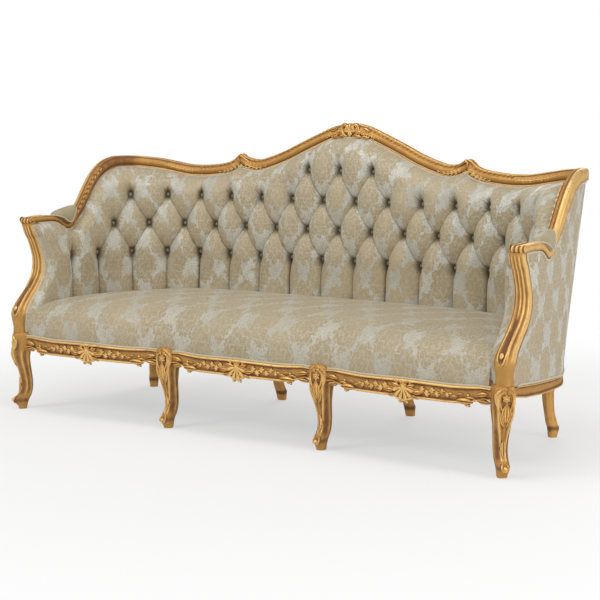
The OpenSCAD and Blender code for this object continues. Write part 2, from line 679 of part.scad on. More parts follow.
// From the outside of the wall straight to the buttons, in plan
function button_way(u) =
    let (v = abs(u), c = curve(button_places, v), b = u < 0 ? mirrored(c) : c,
         w = wall_point(u, button_z, 0)) [b[0] - w[0], b[1] - w[1], 0];
function button_depth(u, z) = norm(button_way(u)) + padding_share * (z - button_z);
function pad_point(u, z, depth) = wall_point(u, z, 0) + unit(button_way(u)) * depth;
// Lengthening of that way against the wall's own thickness
function slant(u) = 1 / (unit(button_way(u)) * inward(wall_run(u)));
function seat_edge(u) = pad_point(u, seat_h,
    button_depth(u, seat_h) + tuft_depth * flute_share + soft_gap * 4);
seat_back_line = [for (u = [0:0.5:18]) let (p = seat_edge(u)) [p[0], p[1]]];
seat_end_x = min([for (u = [18:0.5:28]) seat_edge(u)[0]]);
function seat_back_y(x) = read(seat_back_line, abs(x));
// The seat widens towards its front corners, as far as the arms let it
seat_side_line = [for (u = [28:-0.5:18]) let (p = seat_edge(u)) [p[1], p[0]]];
function flared(p) =
    let (f = read(seat_side_line, p[1]) / seat_end_x - 1)
    [p[0] * (1 + f * pow(abs(p[0]) / seat_end_x, 3)), p[1], p[2]];
// How far into the rail's rebate the cover's face stands
seat_front_share = 0.70;
function front_x(x) = flared([x, 0, 0])[0];
// Side view of the seat's top: places from front to back, with shares of the rise
// from the rail to the crown, for the cover's outside and inside
seat_top_shares = [[0.000, 0.00], [0.000, 0.24], [0.010, 0.46], [0.034, 0.66], [0.080, 0.80],
    [0.160, 0.91], [0.300, 0.98], [0.480, 1.00], [0.680, 0.985], [0.860, 0.955], [1.000, 0.92]];
// Drop of the seat towards its two ends, as a share of the rise
function end_drop(x) = 0.22 * pow(abs(x) / seat_end_x, 6);
function seat_under(x) = front_high(front_x(x)) + soft_gap * 6;
function seat_outer(x) =
    let (y0 = front_line_y(front_x(x)) + rebate_t * seat_front_share, y1 = seat_back_y(x), base = seat_under(x))
    [for (p = seat_top_shares)
        flared([x, blend(y0, y1, p[0]), base + (seat_h - base) * p[1] * (1 - end_drop(x))])];
function seat_inner(x) =
    let (y0 = front_line_y(front_x(x)) + rebate_t - soft_gap * 4, y1 = seat_back_y(x), base = seat_under(x),
         o = seat_outer(x), n = len(o) - 1)
    [flared([x, y0, base]), flared([x, y0, stuffing_base]),
     for (i = [2:n])
        flared([x, min(max(o[i][1], y0 + seat_layer * 0.9), i == n ? y1 : y1 - seat_layer),
            max(o[i][2] - seat_layer, stuffing_base)])];
seat_columns = 30;
seat_xs = [for (i = [-seat_columns / 2:seat_columns / 2])
    let (f = i / (seat_columns / 2)) seat_end_x * (f < 0 ? -1 : 1) * pow(abs(f), 0.86)];
module seat_cover() {
    cut_w = block_w + soft_gap * 2;
    color(damask) difference() {
        slab([for (x = seat_xs) seat_outer(x)], [for (x = seat_xs) seat_inner(x)]);
        for (side = [-1, 1]) translate([side * inner_leg_top[0], inner_leg_top[1], 0])
            linear_extrude(block_h + soft_gap)
                polygon([for (p = octagon_ring([0, 0], [1, 0], [0, 1], cut_w, cut_w)) p]);
    }
}
// Stuffing between the hessian and the cover
stuffing_base = spring_top + hessian_t + soft_gap * 2;
module seat_stuffing() {
    xs = [for (i = [-9:9]) (seat_end_x - seat_layer) * i / 9];
    color(cream) loft([for (x = xs)
        let (n = seat_inner(x), last = len(n) - 1, top = [for (i = [3:last - 1]) n[i]],
             y0 = top[0][1] + soft_gap * 6)
        concat([[x, y0, stuffing_base]],
            [for (p = top) [x, max(p[1], y0), max(p[2] - soft_gap * 6, stuffing_base + soft_gap)]],
            [[x, top[len(top) - 1][1], stuffing_base]])]);
}
gimp_d = rebate_t * 0.16;
module gimp_bay(from, to) {
    y = rebate_t * seat_front_share - gimp_d - soft_gap * 2;
    loft([for (i = [0:bay_steps])
        let (x = blend(from, to, i / bay_steps),
             c = [x, front_line_y(x) + y, front_high(x) + soft_gap])
        [c, c + [0, gimp_d, 0], c + [0, gimp_d, gimp_w], c + [0, 0, gimp_w]]]);
}
module seat_gimp() {
    color(cream) {
        gimp_bay(-inner_near_x, inner_near_x);
        for (side = [0, 1]) mirror([side, 0, 0]) gimp_bay(inner_face_x, corner_face_x);
    }
}
dust_t = 1;
module dust_cover() {
    z = cross_z - soft_gap - dust_t;
    edge = [for (u = [26:-1:0]) let (p = wall_at(u), q = p + inward(wall_run(u)) * (rail_t + soft_gap * 2))
        [q[0], q[1]]];
    left = [for (i = [len(edge) - 1:-1:0]) [-edge[i][0], edge[i][1]]];
    front = [for (x = front_xs) [x, front_line_y(x) + rail_t + soft_gap]];
    hole_r = block_w * 0.56;
    color(black_cloth) translate([0, 0, z]) linear_extrude(dust_t) difference() {
        polygon(concat(front, edge, left));
        for (side = [-1, 1], at = [corner_leg_top, inner_leg_top, rear_corner_top, rear_inner_top])
            translate([side * at[0], at[1]]) circle(r = hole_r, $fn = 48);
    }
}

// Back and arm upholstery

function depth_roll(u, z) =
    let (f = clamp((wall_top_z(u) - z) / roll_h, 0, 1)) sqrt(1 - (1 - f) * (1 - f));
// Lengths along the line of the buttons, with the place of each
arc_step = 0.5;
button_line = [for (i = [0:last_at / arc_step])
    curve(button_places, i * arc_step)];
arc_rows = [for (i = 0, s = 0; i < len(button_line);
    s = s + (i + 1 < len(button_line) ? norm(button_line[i + 1] - button_line[i]) : 0),
    i = i + 1) [s, i * arc_step]];
function place(s) = s < 0 ? -read(arc_rows, -s) : read(arc_rows, s);
// Number of the highest row of buttons under the show wood at a place
function top_row(s) =
    clamp(floor((wall_top_z(place(s)) - button_row * 0.62 - button_z) / button_row), 0, 3);
function pleat(p) = sin(180 * abs(p - 0.5 - round(p - 0.5)));
function tuft(s, z) =
    let (p = s / button_pitch, q = (z - button_z) / button_row, k = top_row(s),
         a = p - 0.5 + q / 2, b = p - 0.5 - q / 2,
         fa = 2 * abs(a - round(a)), fb = 2 * abs(b - round(b)),
         w = sqrt(sin(90 * fa) * sin(90 * fb)), g = sin(90 * max(fa, fb)))
    q < 0 ? pleat(p) * (1 - (1 - flute_share) * min(-q, 1))
    : q > k ? pleat(p + k / 2) * (1 - 0.4 * min(q - k, 1))
    : 0.42 * g + 0.58 * w;
function cover_depth(s, z) =
    let (u = place(s), r = depth_roll(u, z), rest = (stuffing_in + soft_gap * 10) * slant(u))
    rest + (button_depth(u, z) - rest) * r + tuft_depth * r * tuft(s, z);
function cover_point(s, z) = pad_point(place(s), z, cover_depth(s, z));
function cover_back(u, z) = pad_point(u, z,
    (stuffing_in + soft_gap + (stuffing_t + soft_gap) * depth_roll(u, z)) * slant(u));
cover_low = stay_z + soft_gap;
quarter = button_row / 4;
function rows_to(top, count, extra) = concat(
    [cover_low, (cover_low + button_z - button_row) / 2],
    [for (i = [-4:count]) button_z + quarter * i],
    [for (i = [1:extra]) let (f = i / extra, z = button_z + quarter * count)
        z + (top - z) * (1 - (1 - f) * (1 - f) * 0.5 - (1 - f) * 0.5)]);
// The back is as many buttons wide as fit round to the corners
arc_of_place = [for (r = arc_rows) [r[1], r[0]]];
corner_pitches = round(read(arc_of_place, shoulder_at) / button_pitch);
back_columns = corner_pitches * 4;
center_s = button_pitch * corner_pitches;
column = button_pitch / 4;
module inside_back_cover() {
    color(damask) loft([for (i = [-back_columns:back_columns])
        let (s = column * i, u = place(s), top = wall_top_z(u), z0 = cover_low)
        concat([for (z = rows_to(top, 8, 5)) cover_point(s, z)],
            [cover_back(u, top), cover_back(u, top - roll_h / 2), cover_back(u, top - roll_h),
             cover_back(u, z0)])]);
}
// Where the arm's panels end behind the stump, at a height
stump_back = [for (i = [len(stump_line) - 1:-1:0])
    [stump_line[i][2], stump_line[i][1] + stump_w * stump_shares[i][3] * 0.75]];
wall_places = [for (i = [last_at:-1:shoulder_at]) [crest_line[i][1], i]];
function end_place(z) = read(wall_places, read(stump_back, z) + soft_gap * 4);
function end_arc(z) = read(arc_of_place, end_place(z));
fixed_arc = center_s + button_pitch * 2;
fixed_columns = 8;
arm_columns = 18;
function arm_arc(i, n, z) =
    let (s = center_s + soft_gap + (fixed_arc - center_s) * i / fixed_columns)
    i <= fixed_columns ? s
    : blend(fixed_arc, end_arc(z), (i - fixed_columns) / (n - fixed_columns));
function arm_rows(top) = rows_to(top, 0, 10);
module inside_arm_cover() {
    function grid(inside) = [for (i = [0:arm_columns])
        let (top = wall_top_z(place(arm_arc(i, arm_columns, arm_h * 0.93))))
        [for (z = arm_rows(top)) let (s = arm_arc(i, arm_columns, z))
            inside ? cover_point(s, z) : cover_back(place(s), z)]];
    color(damask) slab(grid(true), grid(false));
}
module back_stuffing() {
    color(cream) loft([for (i = [-back_columns:back_columns])
        let (u = place(column * i), top = wall_top_z(u), z0 = cover_low)
        [for (f = [[z0, 0], [top, 0], [top, 1], [top - roll_h / 2, 1], [top - roll_h, 1], [z0, 1]])
            pad_point(u, f[0], slant(u) * (stuffing_in + f[1]
                * (soft_gap / 2 + (stuffing_t - soft_gap / 2) * depth_roll(u, f[0]))))]]);
}
strap_places = [0.9, 2.4, 5.3, 7.1, 9.4, 10.8, 11.7, 12.6];
module back_webbing() {
    color(jute) for (side = [0, 1]) mirror([side, 0, 0]) for (u = strap_places)
        loft([wall_quad(u, strap_w, stay_z, web_in, web_out),
              wall_quad(u, strap_w, wall_top_z(u) - strap_t * 4, web_in, web_out)]);
}
// Outline of a button on its twisted shank
button_profile_shares = [[0, 0], [0.08, 0], [0.08, 0.56], [0.46, 0.60], [0.50, 0.68],
    [0.40, 0.82], [0.22, 0.89], [0, 0.92]];
module button(s, z) {
    u = place(s);
    way = unit(button_way(u));
    translate(cover_point(s, z) + way * (soft_gap * 3)) rotate([0, 0, atan2(way[1], way[0])])
        rotate([0, 90, 0]) rotate_extrude($fn = 24) polygon(button_profile_shares * button_d);
}
module back_buttons() {
    color(damask) for (k = [0:3], j = [-corner_pitches - 3:corner_pitches + 3]) {
        s = button_pitch * (j + (k % 2 == 0 ? 0.5 : 0));
        z = button_z + button_row * k;
        if (abs(s) < end_arc(z) - button_pitch * 0.4 && k <= top_row(abs(s))) button(s, z);
    }
}
// Outside covers, from the rails up to the show wood
side_start = shoulder_at + 1;
side_run = rear_corner_top[1] - side_face_y;
block_lead = 1.6;
block_start = shoulder_at - block_lead;
function outside_low(u) =
    abs(u) < block_start ? rail_low + soft_gap
    : abs(u) < side_start ? rear_leg_h + soft_gap
    : side_rail_high((wall_at(u)[1] - side_face_y) / side_run) + soft_gap * 2;
module outside_cover(us) {
    rows = [0, 0.2, 0.4, 0.6, 0.8, 1];
    function grid(depth) = [for (u = us) [for (f = rows)
        wall_point(u, blend(outside_low(u), wall_top_z(u), f), depth)]];
    color(damask) slab(grid(cover_t), grid(0));
}
module outside_back_cover() {
    half = concat([for (u = [0:floor(block_start)]) u],
        [(block_start + shoulder_at - 1) / 2, shoulder_at - 1, corner_post_at]);
    n = len(half) - 1;
    outside_cover([for (i = [-n:n]) i < 0 ? -half[-i] : half[i]]);
}
module outside_arm_cover() {
    outer = [for (i = [0:arm_steps]) blend(arm_back_at, arm_front_at, i / arm_steps)];
    rows = [0, 0.2, 0.4, 0.6, 0.8, 1];
    function z_at(u, f) = blend(outside_low(u), wall_top_z(u), f);
    function u_at(u, f) =
        let (limit = end_place(z_at(arm_front_at, f)), start = arm_bend_at)
        u < start ? u : blend(start, limit, (u - start) / (arm_front_at - start));
    function grid(depth) = [for (u = outer) [for (f = rows)
        wall_point(u_at(u, f), z_at(u_at(u, f), f), depth)]];
    color(damask) slab(grid(cover_t), grid(0));
}

// Arm pad on the dip of the arm rail: it follows the rail below and bridges the dip above
pad_rows_shares = [[-0.46, 0], [-0.50, 0.34], [-0.40, 0.72], [-0.20, 0.94], [0, 1],
    [0.20, 0.94], [0.40, 0.72], [0.50, 0.34], [0.46, 0]];
pad_middle_y = sofa_d * 0.399;
function rail_over(y) = crest_at(read(wall_places, y));
pad_ends = [for (w = [-1, 1]) rail_over(pad_middle_y + w * pad_l / 2)];
module arm_pad() {
    color(plain_cloth) loft([for (i = [0:14])
        let (f = i / 14, y = blend(pad_ends[0][1], pad_ends[1][1], f), c = rail_over(y),
             full = 0.30 + 0.70 * sqrt(sin(180 * clamp(f, 0.002, 0.998))),
             low = c[2] + soft_gap * 4,
             high = max(low + soft_gap, blend(pad_ends[0][2], pad_ends[1][2], f)
                 + pad_h * full))
        [for (p = pad_rows_shares)
            [c[0] + p[0] * pad_w * full, y, blend(low, high, p[1])]]]);
}

placed() crest_rail_center();
placed() right_to_left() crest_rail_side();  // crest_rail_left
placed() crest_rail_side();  // crest_rail_right
placed() right_to_left() arm_rail();  // arm_rail_left
placed() arm_rail();  // arm_rail_right
placed() right_to_left() arm_stump();  // arm_stump_left
placed() arm_stump();  // arm_stump_right
placed() right_to_left() front_leg_corner();  // front_leg_corner_left
placed() front_leg_corner();  // front_leg_corner_right
placed() right_to_left() front_leg_inner();  // front_leg_inner_left
placed() front_leg_inner();  // front_leg_inner_right
placed() right_to_left() rear_leg_corner();  // rear_leg_corner_left
placed() rear_leg_corner();  // rear_leg_corner_right
placed() right_to_left() rear_leg_inner();  // rear_leg_inner_left
placed() rear_leg_inner();  // rear_leg_inner_right
placed() front_rail_center();
placed() right_to_left() front_rail_side();  // front_rail_left
placed() front_rail_side();  // front_rail_right
placed() right_to_left() side_rail();  // side_rail_left
placed() side_rail();  // side_rail_right
placed() rear_rail_center();
placed() right_to_left() rear_rail_side();  // rear_rail_left
placed() rear_rail_side();  // rear_rail_right
placed() right_to_left() corner_post();  // corner_post_left
placed() corner_post();  // corner_post_right
placed() right_to_left() back_post();  // back_post_left
placed() back_post();  // back_post_right
placed() back_stay_rail();
placed() right_to_left() arm_stay_rail();  // arm_stay_rail_left
placed() arm_stay_rail();  // arm_stay_rail_right
placed() right_to_left() cross_rail();  // cross_rail_left
placed() cross_rail();  // cross_rail_right
placed() corner_blocks();
placed() frame_screws();
placed() seat_springs();
placed() spring_clips();
placed() seat_hessian();
placed() seat_stuffing();
placed() seat_cover();
placed() back_webbing();
placed() back_stuffing();
placed() inside_back_cover();
placed() right_to_left() inside_arm_cover();  // inside_arm_cover_left
placed() inside_arm_cover();  // inside_arm_cover_right
placed() back_buttons();
placed() outside_back_cover();
placed() right_to_left() outside_arm_cover();  // outside_arm_cover_left
placed() outside_arm_cover();  // outside_arm_cover_right
placed() right_to_left() arm_pad();  // arm_pad_left
placed() arm_pad();  // arm_pad_right
placed() seat_gimp();
placed() dust_cover();
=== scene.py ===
"""The looks of a three-bay cabriole sofa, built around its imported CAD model."""

import json
import math

import bmesh
import bpy
import numpy as np
from bpy.props import FloatProperty, FloatVectorProperty, PointerProperty
from bpy.types import Operator, Panel, PropertyGroup
from mathutils import Matrix, Vector


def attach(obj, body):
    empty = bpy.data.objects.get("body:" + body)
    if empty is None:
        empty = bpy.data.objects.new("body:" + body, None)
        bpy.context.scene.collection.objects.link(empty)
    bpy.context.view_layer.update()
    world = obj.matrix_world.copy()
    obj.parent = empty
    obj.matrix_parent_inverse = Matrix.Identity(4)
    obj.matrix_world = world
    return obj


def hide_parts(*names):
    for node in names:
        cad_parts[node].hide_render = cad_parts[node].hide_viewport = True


bl_info = {
    "name": "Cabriole sofa",
    "version": (1, 0, 0),
    "blender": (4, 5, 0),
    "location": "View3D > Sidebar > Sofa",
    "description": "Carved and gilded show wood, deep-buttoned damask and a tight seat",
    "category": "Object",
}

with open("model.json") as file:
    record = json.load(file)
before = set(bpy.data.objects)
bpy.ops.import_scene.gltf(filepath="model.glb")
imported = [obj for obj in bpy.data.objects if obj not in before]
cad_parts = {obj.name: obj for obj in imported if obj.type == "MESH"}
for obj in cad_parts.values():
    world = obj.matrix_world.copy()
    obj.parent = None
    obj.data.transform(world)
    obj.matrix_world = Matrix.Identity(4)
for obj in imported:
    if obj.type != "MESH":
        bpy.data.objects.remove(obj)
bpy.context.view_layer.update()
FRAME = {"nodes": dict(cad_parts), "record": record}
BODY = "root"

# Places along the show wood from the middle of the back to the right hand. Each row holds
# shares of half the width and of the depth: the top of the show wood with its share of the
# rise from arm to crest, the foot of the wall, and the lowest row of buttons.
GUIDE_SHARES = (
    (0.000, 1.078, 1.000, 0.000, 1.000, 0.000, 0.926),
    (0.071, 1.077, 0.967, 0.071, 1.000, 0.070, 0.926),
    (0.142, 1.075, 0.887, 0.142, 1.000, 0.140, 0.926),
    (0.223, 1.073, 0.786, 0.223, 1.000, 0.219, 0.925),
    (0.299, 1.068, 0.687, 0.299, 1.000, 0.293, 0.924),
    (0.370, 1.063, 0.615, 0.370, 1.000, 0.362, 0.923),
    (0.417, 1.060, 0.590, 0.417, 1.000, 0.408, 0.921),
    (0.464, 1.057, 0.612, 0.464, 1.000, 0.454, 0.919),
    (0.494, 1.056, 0.650, 0.494, 1.000, 0.483, 0.918),
    (0.531, 1.053, 0.574, 0.531, 1.000, 0.518, 0.916),
    (0.578, 1.050, 0.538, 0.578, 0.999, 0.562, 0.912),
    (0.655, 1.045, 0.514, 0.655, 0.997, 0.628, 0.903),
    (0.730, 1.040, 0.516, 0.730, 0.992, 0.685, 0.886),
    (0.806, 1.031, 0.549, 0.795, 0.982, 0.735, 0.862),
    (0.867, 1.015, 0.577, 0.846, 0.965, 0.778, 0.830),
    (0.918, 0.984, 0.593, 0.889, 0.941, 0.817, 0.788),
    (0.955, 0.930, 0.606, 0.919, 0.870, 0.851, 0.740),
    (0.980, 0.815, 0.610, 0.950, 0.776, 0.882, 0.687),
    (0.987, 0.745, 0.592, 0.966, 0.720, 0.903, 0.645),
    (0.991, 0.673, 0.536, 0.980, 0.663, 0.921, 0.600),
    (0.993, 0.602, 0.424, 0.987, 0.600, 0.935, 0.556),
    (0.994, 0.538, 0.268, 0.991, 0.540, 0.943, 0.508),
    (0.995, 0.489, 0.129, 0.993, 0.489, 0.948, 0.464),
    (0.996, 0.440, 0.019, 0.994, 0.440, 0.951, 0.422),
    (0.998, 0.384, -0.091, 0.995, 0.384, 0.952, 0.374),
    (1.001, 0.328, -0.036, 0.996, 0.328, 0.953, 0.324),
    (1.003, 0.279, -0.008, 0.996, 0.279, 0.954, 0.279),
    (1.004, 0.210, 0.000, 0.996, 0.210, 0.956, 0.210),
    (1.005, 0.140, 0.000, 0.996, 0.140, 0.957, 0.140),
    (1.005, 0.077, -0.006, 0.996, 0.077, 0.958, 0.077),
)
KNUCKLE_AT, SHOULDER_AT, LAST_AT = 8, 15, 29
# Where the walls turn from the back to the arm, where the outside covers meet and end, and
# where the gimp ends
TURN_AT, SEAM_AT, COVER_END_AT, GIMP_END_AT = 18, 14.4, 28.2, 28.0
PLACES_PER_ROW = 20
HANDS = (("left", -1), ("right", 1))

# Outline of the show wood: shares of its thickness inwards and of its face upwards from
# the top, and how far each place stands out of the recesses
CREST_OUTLINE = (
    (-0.42, -1.00, 0.2), (-0.50, -0.92, 0.6), (-0.51, -0.60, 0.9), (-0.50, -0.30, 0.9),
    (-0.44, -0.12, 1.0), (-0.32, -0.03, 1.0), (-0.16, 0.02, 1.0), (-0.02, -0.02, 0.3),
    (0.06, -0.05, 0.0), (0.12, -0.02, 0.6), (0.22, 0.00, 1.0), (0.31, -0.06, 0.7),
    (0.33, -0.13, 0.0), (0.40, -0.20, 0.38), (0.485, -0.33, 0.62), (0.52, -0.48, 0.68),
    (0.50, -0.63, 0.58), (0.43, -0.76, 0.28), (0.385, -0.82, 0.0), (0.41, -0.87, 0.6),
    (0.43, -0.93, 1.0), (0.38, -1.00, 0.5), (0.20, -1.01, 0.0), (-0.15, -1.01, 0.0),
)
# How full the show wood is at each place from the middle: its thickness, and its face, which
# gets shallow from the dip of the arm to the hand
BACK_FULLNESS = ((0, 1.22), (0.7, 1.12), (1.3, 1.0), (7.2, 1.0), (8, 1.15), (8.8, 1.0))
FULLNESS = BACK_FULLNESS + ((24, 0.92), (26, 1.0), (27.6, 1.10), (28.5, 1.06), (29, 0.96))
FACE_FULLNESS = BACK_FULLNESS + ((19, 1.0), (22, 0.82), (24, 0.62), (26, 0.56), (28.5, 0.56), (29, 0.52))

# Legs from the foot up: shares of the height, and of the block's width outwards, deep and wide
FRONT_LEG_SHARES = (
    (0.000, 0.06, 0.46, 0.46), (0.030, 0.06, 0.50, 0.50), (0.110, 0.14, 0.84, 0.60),
    (0.180, -0.06, 0.76, 0.66), (0.260, -0.20, 0.69, 0.66), (0.350, -0.22, 0.68, 0.70),
    (0.450, -0.16, 0.72, 0.76), (0.560, -0.06, 0.80, 0.86), (0.670, 0.04, 0.92, 0.95),
    (0.760, 0.04, 1.00, 1.00), (0.960, 0.00, 1.00, 1.00), (1.000, 0.00, 0.80, 0.80),
)
# The inner legs' blocks have an arched top in place of the last two rows
ARCHED_TOP_SHARES = ((0.945, 0.00, 1.00, 1.00), (0.980, 0.00, 0.92, 0.82), (1.000, 0.00, 0.72, 0.44))
REAR_LEG_SHARES = (
    (0.000, 0.10, 0.46, 0.50), (0.040, 0.10, 0.50, 0.54), (0.120, 0.12, 0.62, 0.60),
    (0.180, 0.02, 0.60, 0.60), (0.320, -0.12, 0.54, 0.62), (0.480, -0.20, 0.58, 0.68),
    (0.640, -0.20, 0.64, 0.76), (0.780, 0.00, 1.00, 1.00), (1.000, 0.00, 1.00, 1.00),
)
REAR_SPLAY_SHARE = 0.44
# Middles of the legs, the corner one first. At the front: shares of half the width, and of the
# depth. At the back: shares of half the width, and of the block's width in from the rear rail.
FRONT_PLACE_SHARES = ((0.9877, 0.004), (0.3194, 0.039))
REAR_PLACE_SHARES = ((0.8645, 0.92), (0.2825, 0.53))
REAR_POST_IN = 0.0034
# The stump from its head down: shares of the depth back and of its rise, and how wide and deep
# it is
STUMP_SHARES = (
    (0.088, 0.955, 0.94, 0.80), (0.098, 0.910, 0.94, 0.82), (0.112, 0.860, 0.94, 0.84),
    (0.126, 0.830, 0.94, 0.84), (0.150, 0.735, 0.94, 0.84), (0.168, 0.645, 0.98, 0.88),
    (0.170, 0.560, 1.02, 0.94), (0.158, 0.480, 1.04, 0.98), (0.128, 0.400, 1.04, 1.00),
    (0.084, 0.320, 1.02, 1.00), (0.034, 0.235, 1.10, 1.10), (0.006, 0.170, 1.24, 1.16),
    (0.002, 0.110, 1.10, 1.02), (0.004, 0.055, 0.98, 0.94), (0.006, 0.000, 1.06, 1.02),
)
# Front of the seat rails: share of half the width, and of the depth
FRONT_LINE_SHARES = ((0, -0.020), (0.10, -0.018), (0.20, -0.009), (0.290, 0.000), (0.352, 0.000),
                     (0.45, -0.012), (0.56, -0.030), (0.65, -0.037), (0.78, -0.037),
                     (0.90, -0.030), (0.956, -0.024), (1.02, -0.016))
# Edges of a bay from its middle to its end, as shares of the rail's face
APRON_LOW_SHARES = ((0, -0.34), (0.06, -0.26), (0.14, -0.08), (0.60, -0.10), (0.74, -0.02),
                    (0.84, 0.12), (0.92, 0.30), (1, 0.24))
APRON_TOP_SHARES = ((0, 0.02), (0.25, -0.06), (0.55, -0.16), (0.75, -0.06), (0.88, 0.02), (1, -0.10))
SIDE_LOW_SHARES = ((0, 0.20), (0.08, 0.24), (0.2, 0.02), (0.4, -0.12), (0.8, -0.16), (1, -0.10))
SIDE_TOP_SHARES = ((0, -0.30), (0.12, -0.12), (0.3, -0.28), (0.7, -0.50), (1, -0.50))
# Middle of an arm pad, as a share of the depth, and its length
PAD_AT, PAD_LENGTH = 0.372, 0.128

# How far the leg blocks and the rails' tacking edge stand above the moulded edge
BLOCK_LEAD, TACK_LEAD = 0.012, 0.022
# Gap between cloth and the wood it meets, between a flat cover and what it lies on, and
# between the show wood and the covers below it
CLOTH_GAP, SKIN_GAP, FACE_GAP = 0.0016, 0.0004, 0.0024
# Foot of the inside cover. From the outside of the wall to its face at its edges, and to its
# back there, and how much further in its back lies where the padding is full
COVER_LOW, COVER_REST, COVER_BACK, BACK_SWELL = 0.3524, 0.0354, 0.0318, 0.0164
# Rows of buttons, how full the cover is where it has none, how high the roll along its top is
# as a share of a row, and where it ends behind the stump as a share of the stump's depth
BUTTON_ROWS, FLAT_FULL, ROLL_SHARE, COVER_END_SHARE = 4, 0.66, 0.62, 1.3


def metres(name, description, default):
    return FloatProperty(name=name, description=description, default=default, unit="LENGTH")


def paint(name, description, red, green, blue):
    return FloatVectorProperty(name=name, description=description, subtype="COLOR", size=4,
                               default=(red, green, blue, 1))


class SofaSizes(PropertyGroup):
    """Driving sizes of the sofa."""

    width: metres("Width", "Across the corner leg blocks", 2.110)
    depth: metres("Depth", "Front foot line to the back of the rear rail", 0.716)
    crest_height: metres("Crest height", "Floor to the crest's peak", 1.112)
    arm_height: metres("Arm height", "Floor to the arm rail at the hand", 0.748)
    seat_height: metres("Seat height", "Floor to the seat's crown", 0.458)
    rail_height: metres("Rail height", "Floor to the rails' moulded top edge", 0.290)
    crest_face: metres("Crest face", "Height of the crest's moulded face", 0.044)
    crest_thick: metres("Crest thickness", "Thickness of the crest and arm rails", 0.046)
    rail_face: metres("Rail face", "Height of a seat rail's face", 0.056)
    block: metres("Leg block", "Width of a front leg block", 0.070)
    rear_block: metres("Rear leg block", "Width of a rear leg block", 0.066)
    stump: metres("Stump", "Width of an arm stump", 0.054)
    pitch: metres("Button pitch", "Distance between buttons in a row", 0.146)
    row: metres("Button rows", "Height between rows of buttons", 0.115)
    first_row: metres("Lowest buttons", "Height of the lowest row of buttons", 0.587)
    tuft: metres("Tuft depth", "How far the tufts stand proud of the buttons", 0.038)
    button: metres("Button", "Diameter of a covered button", 0.020)
    gimp: metres("Gimp", "Width of the gimp", 0.0068)


class SofaColours(PropertyGroup):
    """Colours of the sofa's finishes."""

    gold: paint("Gold", "Burnished gold leaf on the ridges", 0.86, 0.55, 0.20)
    old_gold: paint("Old gold", "Toned gold on the flats", 0.52, 0.285, 0.080)
    # The bole also gives the painted shade round the foot of each carved lobe
    bole: paint("Bole", "Red-brown clay in the recesses and at worn edges", 0.200, 0.074, 0.024)
    figure: paint("Damask figure", "Champagne figure of the damask", 0.430, 0.342, 0.203)
    ground: paint("Damask ground", "Pale silver-blue satin ground", 0.54, 0.545, 0.490)
    plain: paint("Arm pad cloth", "Plain champagne satin of the arm pads", 0.39, 0.320, 0.190)
    gimp: paint("Gimp", "Cream gimp", 0.68, 0.60, 0.44)


# Maths on arrays of points

def unit(v):
    """Vectors scaled to a length of 1."""
    return v / np.linalg.norm(v, axis=-1, keepdims=True)


def blend(a, b, f):
    """From a, where f is 0, to b, where it is 1."""
    return a + (b - a) * f


def ease(f):
    """From 0 to 1 with a soft start and end."""
    f = np.clip(f, 0, 1)
    return f * f * (3 - 2 * f)


def read(rows, x):
    """The second column of a table, read at places along its first one."""
    rows = np.array(rows)
    return np.interp(x, rows[:, 0], rows[:, 1])


def spline(points, u):
    """A smooth curve through the points, read at the places u along it."""
    n = len(points) - 1
    i = np.clip(np.floor(u).astype(int), 0, n - 1)
    t = (u - i)[..., None]
    a, b, c, d = (points[np.clip(i + k, 0, n)] for k in (-1, 0, 1, 2))
    return (b * 2 + (c - a) * t + (a * 2 - b * 5 + c * 4 - d) * t * t
            + (b * 3 - a - c * 3 + d) * t * t * t) / 2


def inward(run):
    """The level way to the sitter's side of a line that runs to the right hand."""
    return unit(np.stack([run[..., 1], -run[..., 0], np.zeros(run.shape[:-1])], -1))


def to_nearest(p):
    """How far p is from the nearest whole number."""
    return np.abs(p - np.round(p))


def area_of(grid):
    """The area of the surface through a grid of points."""
    a, b = np.diff(grid, axis=0)[:, :-1], np.diff(grid, axis=1)[:-1]
    return float(np.linalg.norm(np.cross(a, b), axis=-1).sum())


